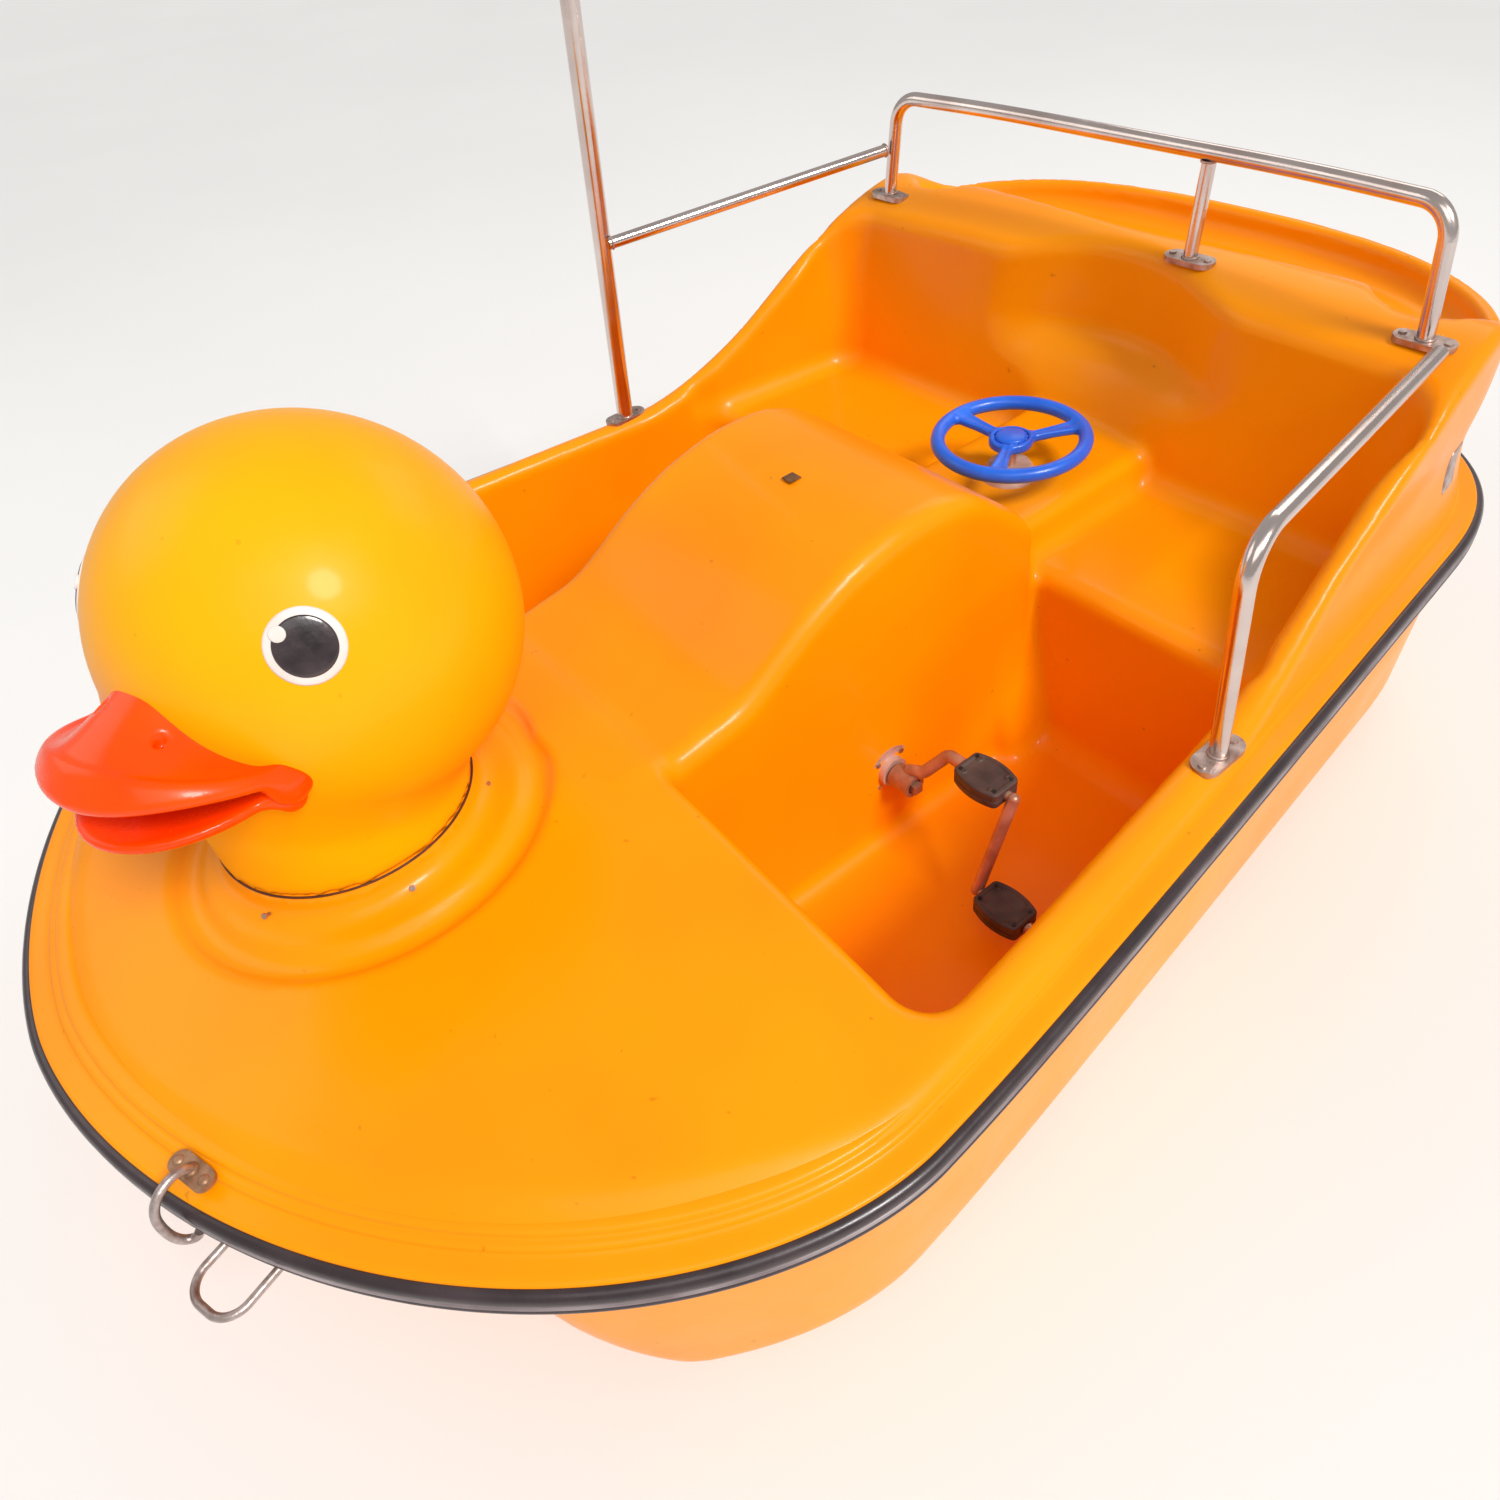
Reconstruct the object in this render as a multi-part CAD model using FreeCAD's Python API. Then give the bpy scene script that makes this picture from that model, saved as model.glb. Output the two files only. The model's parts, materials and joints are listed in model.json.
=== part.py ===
import FreeCAD, Part
import math
import os

V = FreeCAD.Vector

# Pedal boat with a duck's head. Sizes are in millimetres.
# x runs to port, s is the station measured aft from the bow, and z is the height above the keels.
# save() moves every piece by half the length, so that the finished boat stands on the origin.

# ---- driving dimensions ----
LENGTH = 2495.0             # bow to transom at the joint between the two mouldings
HALF_BEAM = 854.0           # largest half width, at the end of the round bow
BOW_LENGTH = 736.0          # length of the round bow
BOW_POWER = 1.8             # roundness of the bow's outline
STERN_START = 2050.0        # where the stern's corners begin to turn
STERN_POWER = 2.8
SIDE_TAPER = 0.12           # how fast the sides close towards the stern
TAPER_BLEND = 200.0
JOINT_Z = 420.0             # height of the joint between hull and deck above the keels
LAMINATE = 8.0              # thickness of both mouldings
FENDER_OUT = 14.0           # how far the rubber fender stands outside the joint
FENDER_HALF = 19.0
BEAD_LOW = 6.7              # grey bead set in the fender's groove
BEAD_HIGH = 0.7
FLANGE_INSET = 2.0          # the mouldings' flanges inside the joint's outline
FLANGE_THICK = 6.0
DECK_INSET = 12.0           # the deck's sides inside the joint's outline
SHEER_INSET = 14.0          # the hull's sides in three bands, from the joint down
MIDDLE_INSET = 26.0
LOWER_INSET = 60.0
SHEER_BAND = 110.0

GUNWALE_LOW = 50.0          # gunwale heights above the joint
GUNWALE_RISE = 312.0
TRAY_DROP = 62.0
GUNWALE_WIDTH = 90.0        # from the outline to the cockpit's inner edge

WELL_START = 818.0          # footwells
WELL_END = 1600.0
WELL_FLOOR_Z = 70.0
SEAT_END = 1945.0
SEAT_Z = 427.0
LEDGE_Z = 605.0             # middle seat in the stern bay
BAY_CENTRE_X = 40.0
BAY_HALF = 235.0
BAY_END = 2040.0
TRAY_START = 2120.0
TRAY_FLOOR_Z = 682.0
TRAY_INSET = 78.0

HUMP_HALF = 245.0           # housing over the paddle wheel
CONSOLE_X = 50.0
CONSOLE_HALF = 137.0
CONSOLE_Z = 490.0

TUNNEL_HALF = 207.0
TUNNEL_Z = 200.0
BOW_LIP_Z = 340.0
BILGE_Z = 90.0
NOSE_START = 320.0
NOSE_LENGTH = 300.0
WHEEL_BOX_Z = 450.0

AXLE_S = 1230.0             # paddle shaft
AXLE_Z = 220.0
SHAFT_R = 14.0
PADDLE_R = 196.0
PADDLE_COUNT = 6
CRANK_THROW = 88.0
CRANK_TUBE_R = 11.0
CRANK_LEAN = 24.0           # angle of the cranks from upright, in degrees
PEDAL_X = (430.0, 545.0)
PEDAL_LENGTH = 90.0
PEDAL_WIDTH = 72.0
PEDAL_THICK = 30.0
PEDAL_BORE_R = 8.06
PEDAL_SPINDLE_R = 8.0
PEDAL_BULGE = 10.0
SHAFT_HALF = 300.0
SQUARE = 17.0               # square ends of the shaft
SQUARE_HALF = 320.0
HUB_R = 40.0
HUB_HALF = 150.0
BLADE_HALF = 180.0
BLADE_THICK = 8.0
FLANGE_R = 46.0             # bearing flanges on the housing's sides
FLANGE_PLATE = 5.0
BOSS_R = 27.0
BOSS_LENGTH = 17.0
BOLT_CIRCLE = 37.0
BOLT_R = 4.5
SLEEVE_R = 21.0
SLEEVE = (266.0, 310.0)

WHEEL_X = 55.0              # steering
WHEEL_S = 1725.0
WHEEL_Z = 563.0
WHEEL_R = 142.0
RIM_R = 13.0
COLUMN_R = 11.0
HUB_PLATE_R = 30.0
CAP_R = 25.0
SPOKE_WIDTH = 24.0
SPOKE_THICK = 10.0
SPOKE_COUNT = 3
COLUMN_FLANGE = (52.0, 38.0, 22.0)
LINK_Z = 300.0
ARM = 90.0
ARM_WIDTH = 26.0
ARM_THICK = 16.0
ARM_HUB_R = 22.0
ARM_END_R = 14.0
PIN_R = 6.0
LINK_HALF = 9.0
LINK_THICK = 8.0
RUDDER_S = 2310.0
STOCK_R = 12.0
STOCK_TUBE_R = 16.0
STOCK_COLLAR_R = 40.0

DRAIN_X = 300.0             # drain in the port pontoon's stern
DRAIN_S = 2417.0
DRAIN_Z = 60.0
DRAIN_R = 10.6

TUBE_R = 12.7               # stainless rails
POLE_R = 17.0
POLE_LENGTH = 1000.0
RAIL_TOP_Z = 957.0
MID_POST_X = 144.0
RAIL_TOP = (541.0, 2036.0)  # rear rail's upper corners, and where its top run is straight
RAIL_STRAIGHT = (330.0, 2058.0)
RAIL_BEND = 52.0
RAIL_BOW = 2500.0
SIDE_CORNER = (697.0, 1384.0, 807.0)
SIDE_END = (604.0, 1984.0, 782.0)
SIDE_BEND = 60.0
CROSS_END = (-551.0, 2024.0, 866.0)
CROSS_HEIGHT = 352.0
POLE_LEAN = (4.0, 24.0, 350.0)
POLE_WALL = 2.0

HEAD_S = 528.0              # duck's head
HEAD_Z = 810.0
HEAD_R = 246.0
HEAD_SKIN = 6.0
HEAD_TURN = 26.0            # degrees to port
NECK_S = 460.0
NECK_Z = 545.0
NECK_R = 172.0
NECK_FOOT_R = 226.0
NECK_FOOT_Z = 450.0
COLLAR_THICK = 10.0
NECK_TUBE = 130.0           # height of the head's stem
SCREW_LEVEL = 518.0
SCREW_COUNT = 6
BEAK_TILT = 20.0            # how far the mouth rises towards its tip
MOUTH_DROP = -111.0
MOUTH_GAP = 4.0
BEAK_GAP = 0.3
UPPER_BEAK = (157.0, 152.0, 100.0)
UPPER_REACH = 165.0
LOWER_BEAK = (140.0, 138.0, 74.0)
LOWER_REACH = 163.0
EYE_TURN = 50.0
EYE_RISE = 27.0
EYE_R = 41.0
PUPIL_R = 32.0

BASE_SPOTS = (
    ("front_port", 720.0, 1390.0),
    ("front_starboard", -720.0, 1390.0),
    ("rear_port", 562.0, 2030.0),
    ("rear_starboard", -562.0, 2030.0),
    ("rear_middle", MID_POST_X, 2052.0),
)
PLATE_THICK = 4.0
PLATE_LENGTH = 92.0
PLATE_WIDTH = 42.0
PLATE_CORNER = 20.5
PLATE_SCREW_REACH = 34.0


BOW_PLATE = (325.0, 103.0)  # plate and hook at the bow, and the tow eye below the fender
BOW_WAY = (118.0, 40.0, 0.0)
BOW_PLATE_LENGTH = 66.0
BOW_PLATE_WIDTH = 27.0
BOW_SCREW_REACH = 23.0
HOOK_R = 4.5
TOW_EYE = (410.0, 118.0)
TOW_EYE_DROP = 32.0
TOW_EYE_HALF = 38.0
TOW_EYE_REACH = 74.0
TOW_EYE_BEND = 30.0
TOW_EYE_R = 5.0


# ---- outline, deck surface and small helpers ----
def smoothstep(low, high, value):
    t = min(max((value - low) / (high - low), 0.0), 1.0)
    return t * t * (3.0 - 2.0 * t)


def half_beam(s):
    past_bow = s - BOW_LENGTH
    blend = (past_bow + math.hypot(past_bow, TAPER_BLEND)) / 2.0
    width = HALF_BEAM - SIDE_TAPER * blend
    bow = 1.0 - abs(1.0 - min(s, BOW_LENGTH) / BOW_LENGTH) ** BOW_POWER
    width *= max(bow, 0.0) ** (1.0 / BOW_POWER)
    if s > STERN_START:
        turn = min((s - STERN_START) / (LENGTH - STERN_START), 1.0)
        width *= max(1.0 - turn ** STERN_POWER, 0.0) ** (1.0 / STERN_POWER)
    return width


def outline_point(turn):
    """A point of the port outline: turn runs from 0 at the bow to 1 at the transom."""
    s = LENGTH * (1.0 - math.cos(math.pi * turn)) / 2.0
    if turn < 0.12:
        s = LENGTH * (1.0 - math.cos(math.pi * 0.12)) / 2.0 * (turn / 0.12) ** 2
    if turn > 0.94:
        left = (1.0 - turn) / 0.06
        s = LENGTH - LENGTH * (1.0 - math.cos(math.pi * 0.06)) / 2.0 * left ** 2
    return half_beam(s), s


def outline_points(inset, count=44):
    half = [outline_point(i / count) for i in range(count + 1)]
    loop = half + [(-x, s) for x, s in reversed(half[1:-1])]
    moved = []
    for i, (x, s) in enumerate(loop):
        before = loop[i - 1]
        after = loop[(i + 1) % len(loop)]
        dx = after[0] - before[0]
        ds = after[1] - before[1]
        size = math.hypot(dx, ds)
        moved.append(V(x - inset * ds / size, s + inset * dx / size, 0.0))
    return moved


def plan(inset, low, high):
    """The outline, moved in by inset, as an upright solid."""
    curve = Part.BSplineCurve()
    curve.interpolate(Points=outline_points(inset), PeriodicFlag=True)
    face = Part.Face(Part.Wire(curve.toShape()))
    face.translate(V(0, 0, low))
    return face.extrude(V(0, 0, high - low))


def box(x0, x1, s0, s1, z0, z1):
    return Part.makeBox(x1 - x0, s1 - s0, z1 - z0, V(x0, s0, z0))


def rounded_box(x0, x1, s0, s1, z0, z1, radius):
    solid = box(x0, x1, s0, s1, z0, z1)
    upright = [e for e in solid.Edges if abs(e.tangentAt(e.FirstParameter).z) > 0.99]
    return solid.makeFillet(radius, upright)


def cylinder(start, end, radius):
    axis = end - start
    return Part.makeCylinder(radius, axis.Length, start, axis)


def bent_tube(points, radii, radius, wall=1.6):
    """A tube along straight runs joined by tangent arcs, one radius for each inner corner."""
    edges = []
    last = points[0]
    for i in range(1, len(points) - 1):
        corner = points[i]
        back = (points[i - 1] - corner).normalize()
        ahead = (points[i + 1] - corner).normalize()
        half = back.getAngle(ahead) / 2.0
        reach = radii[i - 1] / math.tan(half)
        start = corner + back * reach
        end = corner + ahead * reach
        middle_way = (back + ahead).normalize()
        middle = corner + middle_way * (radii[i - 1] / math.sin(half) - radii[i - 1])
        edges.append(Part.LineSegment(last, start).toShape())
        edges.append(Part.Arc(start, middle, end).toShape())
        last = end
    edges.append(Part.LineSegment(last, points[-1]).toShape())
    path = Part.Wire(edges)
    along = (points[1] - points[0]).normalize()
    outer = Part.Wire(Part.Circle(points[0], along, radius).toShape())
    solid = path.makePipeShell([outer], True, True)
    if wall:
        inner = Part.Wire(Part.Circle(points[0], along, radius - wall).toShape())
        solid = solid.cut(path.makePipeShell([inner], True, True))
    return solid


def ellipsoid(centre, radii):
    ball = Part.makeSphere(1.0)
    matrix = FreeCAD.Matrix()
    matrix.scale(V(*radii))
    ball = ball.transformGeometry(matrix)
    ball.translate(centre)
    return ball


def group(solids):
    return Part.makeCompound(solids)


def save(name, shape):
    moved = shape.copy()
    moved.translate(V(0, -LENGTH / 2.0, 0))
    moved.exportStep("parts/" + name + ".step")


def gunwale_height(s):
    rise = GUNWALE_RISE * smoothstep(1390.0, 2150.0, s)
    drop = TRAY_DROP * smoothstep(2090.0, 2260.0, s)
    bow = 35.0 * (1.0 - smoothstep(0.0, 600.0, s))
    return JOINT_Z + GUNWALE_LOW + rise - drop - bow


def deck_height(x, s):
    """Height of the deck's outer surface, without the hump."""
    side = gunwale_height(s)
    foredeck = JOINT_Z + 20.0 + 85.0 * (1.0 - math.exp(-max(s, 0.0) / 300.0))
    aft = side + 22.0
    centre = foredeck + (aft - foredeck) * smoothstep(900.0, 1900.0, s)
    crown = max(1.0 - (x / 760.0) ** 2, -0.3)
    return side + (centre - side) * crown


def under_deck(inset, drop, low):
    """Everything below the deck surface, lowered by drop, and inside the outline."""
    columns = [-900.0 + 150.0 * i for i in range(13)]
    rows = [-60.0 + 97.0 * i for i in range(28)]
    grid = [[V(x, s, deck_height(x, s) - drop) for s in rows] for x in columns]
    surface = Part.BSplineSurface()
    surface.interpolate(grid)
    column = surface.toShape().extrude(V(0, 0, -900.0))
    return column.common(plan(inset, low, 1000.0))


HUMP_LINE = (
    (805.0, 84.0), (900.0, 97.0), (965.0, 106.0), (1012.0, 134.0), (1096.0, 188.0),
    (1185.0, 228.0), (1290.0, 250.0), (1390.0, 246.0), (1455.0, 222.0),
    (1520.0, 172.0), (1600.0, 96.0),
)


def hump(shrink, low):
    """The wheel housing, as a solid as wide as the space between the footwells."""
    top = Part.BSplineCurve()
    top.interpolate([V(0, s, JOINT_Z + z - shrink) for s, z in HUMP_LINE])
    front = top.value(top.FirstParameter)
    rear = top.value(top.LastParameter)
    rear_foot = V(0, rear.y, low)
    front_foot = V(0, front.y, low)
    edges = [top.toShape()]
    for start, end in ((rear, rear_foot), (rear_foot, front_foot), (front_foot, front)):
        edges.append(Part.LineSegment(start, end).toShape())
    face = Part.Face(Part.Wire(edges))
    half = HUMP_HALF - shrink
    face.translate(V(-half, 0, 0))
    solid = face.extrude(V(2.0 * half, 0, 0))
    return solid.common(box(-half, half, 0.0, WELL_END - shrink, low, 1000.0))


def console(shrink, low):
    return box(CONSOLE_X - CONSOLE_HALF + shrink, CONSOLE_X + CONSOLE_HALF - shrink,
               WELL_END - 40.0, SEAT_END + 40.0, low, CONSOLE_Z - shrink)


# ---- the two mouldings ----
def cockpit(grow):
    """The open air of footwells, seats, stern bay and tray, grown by the laminate."""
    inner = plan(GUNWALE_WIDTH - grow, WELL_FLOOR_Z - grow, 1000.0)
    wells = inner.common(box(-900, 900, WELL_START - grow, WELL_END + grow,
                             WELL_FLOOR_Z - grow, 1000.0))
    wells = wells.cut(box(grow - HUMP_HALF, HUMP_HALF - grow, WELL_START - 60.0,
                          WELL_END + 60.0, 0.0, SEAT_Z - grow))
    seats = inner.common(box(-900, 900, WELL_END - 60.0, SEAT_END + grow,
                             SEAT_Z - grow, 1000.0))
    bay = rounded_box(BAY_CENTRE_X - BAY_HALF - grow, BAY_CENTRE_X + BAY_HALF + grow,
                      SEAT_END - 240.0, BAY_END + grow, LEDGE_Z - grow, 1000.0, 90.0)
    tray = plan(TRAY_INSET - grow, TRAY_FLOOR_Z - grow, 1000.0)
    tray = tray.common(box(-900, 900, TRAY_START - grow, 2600.0, TRAY_FLOOR_Z - grow, 1000.0))
    air = wells.fuse([seats, bay, tray])
    return air.cut(hump(grow, 0.0).fuse(console(grow, 0.0)))


def deck_shell():
    outer = under_deck(DECK_INSET, 0.0, JOINT_Z).fuse(hump(0.0, JOINT_Z))
    inner = under_deck(DECK_INSET + LAMINATE, LAMINATE, JOINT_Z - 1.0)
    inner = inner.fuse(hump(LAMINATE, JOINT_Z - 1.0))
    skin = outer.cut(inner)
    limits = under_deck(DECK_INSET, 0.0, 40.0).fuse(hump(0.0, 40.0))
    tub = cockpit(LAMINATE).common(limits)
    flange = plan(FLANGE_INSET, JOINT_Z, JOINT_Z + FLANGE_THICK)
    flange = flange.cut(plan(SHEER_INSET, JOINT_Z - 1.0, JOINT_Z + FLANGE_THICK + 1.0))
    shell = skin.fuse([tub, flange]).cut(cockpit(0.0))
    neck = Part.makeCone(NECK_FOOT_R, NECK_R, NECK_Z - NECK_FOOT_Z, V(0, NECK_S, NECK_FOOT_Z))
    hollow = Part.makeCone(NECK_FOOT_R - COLLAR_THICK, NECK_R - COLLAR_THICK,
                           NECK_Z - NECK_FOOT_Z + 2.0, V(0, NECK_S, NECK_FOOT_Z - 1.0))
    shell = shell.fuse(neck).cut(hollow)
    shaft_hole = cylinder(V(-300, AXLE_S, AXLE_Z), V(300, AXLE_S, AXLE_Z), SHAFT_R + 4.0)
    column_hole = cylinder(V(WHEEL_X, WHEEL_S, JOINT_Z - 40.0),
                           V(WHEEL_X, WHEEL_S, CONSOLE_Z + 10.0), COLUMN_R + 3.0)
    return shell.cut([shaft_hole, column_hole])


def tunnel(grow):
    low = -20.0
    nose = NOSE_START + NOSE_LENGTH
    half = TUNNEL_HALF + grow
    corners = [
        V(-half, -40.0, low), V(-half, -40.0, BOW_LIP_Z + grow),
        V(-half, NOSE_START, BOW_LIP_Z + grow), V(-half, nose, TUNNEL_Z + grow),
        V(-half, LENGTH + 40.0, TUNNEL_Z + grow), V(-half, LENGTH + 40.0, low),
    ]
    face = Part.Face(Part.makePolygon(corners + corners[:1]))
    channel = face.extrude(V(2.0 * half, 0, 0))
    wheel_box = box(-half, half, AXLE_S - PADDLE_R - 19.0 - grow,
                    AXLE_S + PADDLE_R + 19.0 + grow, 0.0, WHEEL_BOX_Z + grow)
    return channel.fuse(wheel_box)


def bow_cut(grow):
    """The space ahead of the pontoons: below the bow's lip, with a rounded nose behind it."""
    start = NOSE_START + grow
    centre_s = NOSE_START + NOSE_LENGTH
    across = NOSE_LENGTH - grow
    rise = BOW_LIP_Z - grow
    lean = math.sqrt(0.5)
    top = V(-900, start, BOW_LIP_Z)
    middle = V(-900, centre_s - across * lean, BOW_LIP_Z - rise * lean)
    foot = V(-900, centre_s, grow)
    edges = [Part.Arc(top, middle, foot).toShape()]
    far = [foot, V(-900, centre_s, -30.0), V(-900, -60.0, -30.0),
           V(-900, -60.0, BOW_LIP_Z + grow), V(-900, start, BOW_LIP_Z + grow), top]
    for first, second in zip(far[:-1], far[1:]):
        if first.distanceToPoint(second) > 0.01:
            edges.append(Part.LineSegment(first, second).toShape())
    return Part.Face(Part.Wire(edges)).extrude(V(1800, 0, 0))


def hull_body(grow):
    """The hull's outer form; grow shrinks it inwards by the laminate."""
    top = JOINT_Z + (1.0 if grow else 0.0)
    sheer = JOINT_Z - SHEER_BAND + grow
    upper = plan(SHEER_INSET + grow, sheer, top)
    middle = plan(MIDDLE_INSET + grow, BILGE_Z + grow, sheer)
    lower = plan(LOWER_INSET + grow, grow, BILGE_Z + grow)
    return upper.fuse([middle, lower]).cut(bow_cut(grow))


def hull_shell():
    box_walls = box(-TUNNEL_HALF - LAMINATE, TUNNEL_HALF + LAMINATE,
                    AXLE_S - PADDLE_R - 19.0 - LAMINATE, AXLE_S + PADDLE_R + 19.0 + LAMINATE,
                    TUNNEL_Z, WHEEL_BOX_Z + LAMINATE)
    inside = hull_body(LAMINATE).cut(tunnel(LAMINATE))
    shell = hull_body(0.0).cut(inside).fuse(box_walls).cut(tunnel(0.0))
    flange = plan(FLANGE_INSET, JOINT_Z - FLANGE_THICK, JOINT_Z)
    flange = flange.cut(plan(SHEER_INSET + 4.0, JOINT_Z - FLANGE_THICK - 1.0, JOINT_Z + 1.0))
    shell = shell.fuse(flange)
    shaft_hole = cylinder(V(-230, AXLE_S, AXLE_Z), V(230, AXLE_S, AXLE_Z), SHAFT_R + 4.0)
    stock_hole = cylinder(V(0, RUDDER_S, 150.0), V(0, RUDDER_S, 250.0), STOCK_TUBE_R)
    drain = cylinder(V(DRAIN_X, DRAIN_S - 60.0, DRAIN_Z), V(DRAIN_X, DRAIN_S + 60.0, DRAIN_Z),
                     DRAIN_R + 0.4)
    return shell.cut([shaft_hole, stock_hole, drain])


def fender():
    outer = plan(-FENDER_OUT, JOINT_Z - FENDER_HALF, JOINT_Z + FENDER_HALF)
    inner = plan(9.0, JOINT_Z - 30.0, JOINT_Z + 30.0)
    slot = plan(1.5, JOINT_Z - 6.5, JOINT_Z + 6.5)
    groove = plan(-FENDER_OUT - 4.0, JOINT_Z - 7.0, JOINT_Z + 1.0)
    groove = groove.cut(plan(-FENDER_OUT + 3.0, JOINT_Z - 8.0, JOINT_Z + 2.0))
    return outer.cut(inner).cut(slot).cut(groove)


def fender_insert():
    strip = plan(-FENDER_OUT - 1.0, JOINT_Z - BEAD_LOW, JOINT_Z + BEAD_HIGH)
    return strip.cut(plan(-FENDER_OUT + 2.7, JOINT_Z - 8.0, JOINT_Z + 2.0))


# ---- duck's head ----
TURN = math.radians(HEAD_TURN)
HEAD = V(0, HEAD_S, HEAD_Z)


def place_on_head(shape):
    """Turn a shape built round the origin, with its front towards -y, into the beak's tilt."""
    placed = shape.copy()
    placed.rotate(V(0, 0, 0), V(1, 0, 0), -BEAK_TILT)
    placed.rotate(V(0, 0, 0), V(0, 0, 1), HEAD_TURN)
    placed.translate(HEAD)
    return placed


def head_shell():
    top = Part.makeSphere(HEAD_R, HEAD)
    stem = Part.makeCylinder(NECK_R, NECK_TUBE, V(0, NECK_S, NECK_Z))
    hollow = Part.makeSphere(HEAD_R - HEAD_SKIN, HEAD)
    bore = Part.makeCylinder(NECK_R - HEAD_SKIN, NECK_TUBE + 1.0, V(0, NECK_S, NECK_Z - 1.0))
    return top.fuse(stem).cut([hollow, bore])


def beak_half(upper):
    if upper:
        form = ellipsoid(V(0, -UPPER_REACH, MOUTH_DROP), UPPER_BEAK)
        keep = Part.makeBox(500, 500, 200, V(-250, -500, MOUTH_DROP))
    else:
        form = ellipsoid(V(0, -LOWER_REACH, MOUTH_DROP - MOUTH_GAP), LOWER_BEAK)
        keep = Part.makeBox(500, 500, 200, V(-250, -500, MOUTH_DROP - MOUTH_GAP - 200.0))
    return place_on_head(form.common(keep)).cut(Part.makeSphere(HEAD_R + BEAK_GAP, HEAD))


def eye_disc(side, radius, outer, inner, shift=(0.0, 0.0)):
    turn = TURN + side * math.radians(EYE_TURN + shift[0])
    rise = math.radians(EYE_RISE + shift[1])
    way = V(math.sin(turn) * math.cos(rise), -math.cos(turn) * math.cos(rise), math.sin(rise))
    core = cylinder(HEAD + way * (HEAD_R - 60.0), HEAD + way * (HEAD_R + 40.0), radius)
    cap = Part.makeSphere(HEAD_R + outer, HEAD).cut(Part.makeSphere(HEAD_R + inner, HEAD))
    return core.common(cap)


def small_screw(spot, way, radius=4.0, length=14.0, head=2.2):
    shank = Part.makeCylinder(radius * 0.55, length, spot - way * length, way)
    return shank.fuse(Part.makeCylinder(radius, head, spot, way))


def neck_screws():
    screws = []
    slope = math.atan2(NECK_FOOT_R - NECK_R, NECK_Z - NECK_FOOT_Z)
    radius = NECK_FOOT_R - (SCREW_LEVEL - NECK_FOOT_Z) * math.tan(slope)
    for i in range(SCREW_COUNT):
        turn = math.tau * (i + 0.5) / SCREW_COUNT
        out = V(math.sin(turn) * math.cos(slope), -math.cos(turn) * math.cos(slope),
                math.sin(slope))
        spot = V(radius * math.sin(turn), NECK_S - radius * math.cos(turn), SCREW_LEVEL)
        screws.append(small_screw(spot, out, 4.0, 8.0))
    return group(screws)


# ---- stainless rails ----
def foot(number):
    """Top of a base plate standing on the deck."""
    x, s = BASE_SPOTS[number][1:]
    return V(x, s, deck_height(x, s) + PLATE_THICK + 2.0)


def rails():
    rear_p = foot(2)
    rear_s = foot(3)
    top_p = V(*RAIL_TOP, RAIL_TOP_Z)
    top_s = V(-RAIL_TOP[0], RAIL_TOP[1], RAIL_TOP_Z)
    straight_p = V(*RAIL_STRAIGHT, RAIL_TOP_Z)
    straight_s = V(-RAIL_STRAIGHT[0], RAIL_STRAIGHT[1], RAIL_TOP_Z)
    loop = [rear_s, top_s, straight_s, straight_p, top_p, rear_p]
    save("rear_rail", bent_tube(loop, [RAIL_BEND, RAIL_BOW, RAIL_BOW, RAIL_BEND], TUBE_R))
    post_top = V(MID_POST_X, 2060.5, RAIL_TOP_Z - TUBE_R)
    save("rear_middle_post", cylinder(foot(4), post_top, TUBE_R - 1.0))
    port_rail = [foot(0), V(*SIDE_CORNER), V(*SIDE_END)]
    save("port_side_rail", bent_tube(port_rail, [SIDE_BEND], TUBE_R))
    pole_foot = foot(1)
    lean = V(*POLE_LEAN).normalize()
    pole_top = pole_foot + lean * POLE_LENGTH
    save("tall_pole", cylinder(pole_foot, pole_top, POLE_R).cut(
        cylinder(pole_foot - lean, pole_top + lean, POLE_R - POLE_WALL)))
    cap = cylinder(pole_top + lean * 0.1, pole_top + lean * 6.1, POLE_R)
    plug = cylinder(pole_top - lean * 24.0, pole_top + lean, POLE_R - POLE_WALL - 0.1)
    save("pole_cap", cap.fuse(plug))
    start = pole_foot + lean * CROSS_HEIGHT
    start.x += POLE_R - 1.0
    end = V(*CROSS_END)
    end = end + (start - end).normalize() * (TUBE_R - 1.0)
    start = start + (end - start).normalize() * 4.0
    save("starboard_side_rail", cylinder(start, end, TUBE_R - 1.5))


def base_plates():
    plates = []
    screws = []
    for name, x, s in BASE_SPOTS:
        along = V(1, 0, 0) if "rear" in name else V(0, 1, 0)
        z = deck_height(x, s)
        centre = V(x, s, z - 3.0)
        slab = Part.makeBox(PLATE_LENGTH, PLATE_WIDTH, PLATE_THICK + 5.0,
                            V(-PLATE_LENGTH / 2.0, -PLATE_WIDTH / 2.0, 0))
        upright = [e for e in slab.Edges if abs(e.tangentAt(e.FirstParameter).z) > 0.99]
        slab = slab.makeFillet(PLATE_CORNER, upright)
        if along.y:
            slab.rotate(V(0, 0, 0), V(0, 0, 1), 90)
        slab.translate(centre)
        plates.append(slab)
        for side in (-1, 1):
            spot = centre + along * (PLATE_SCREW_REACH * side) + V(0, 0, PLATE_THICK + 5.0)
            screws.append(Part.makeCylinder(6.0, 2.5, spot))
    save("rail_base_plates", group(plates))
    save("rail_plate_screws", group(screws))


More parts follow.
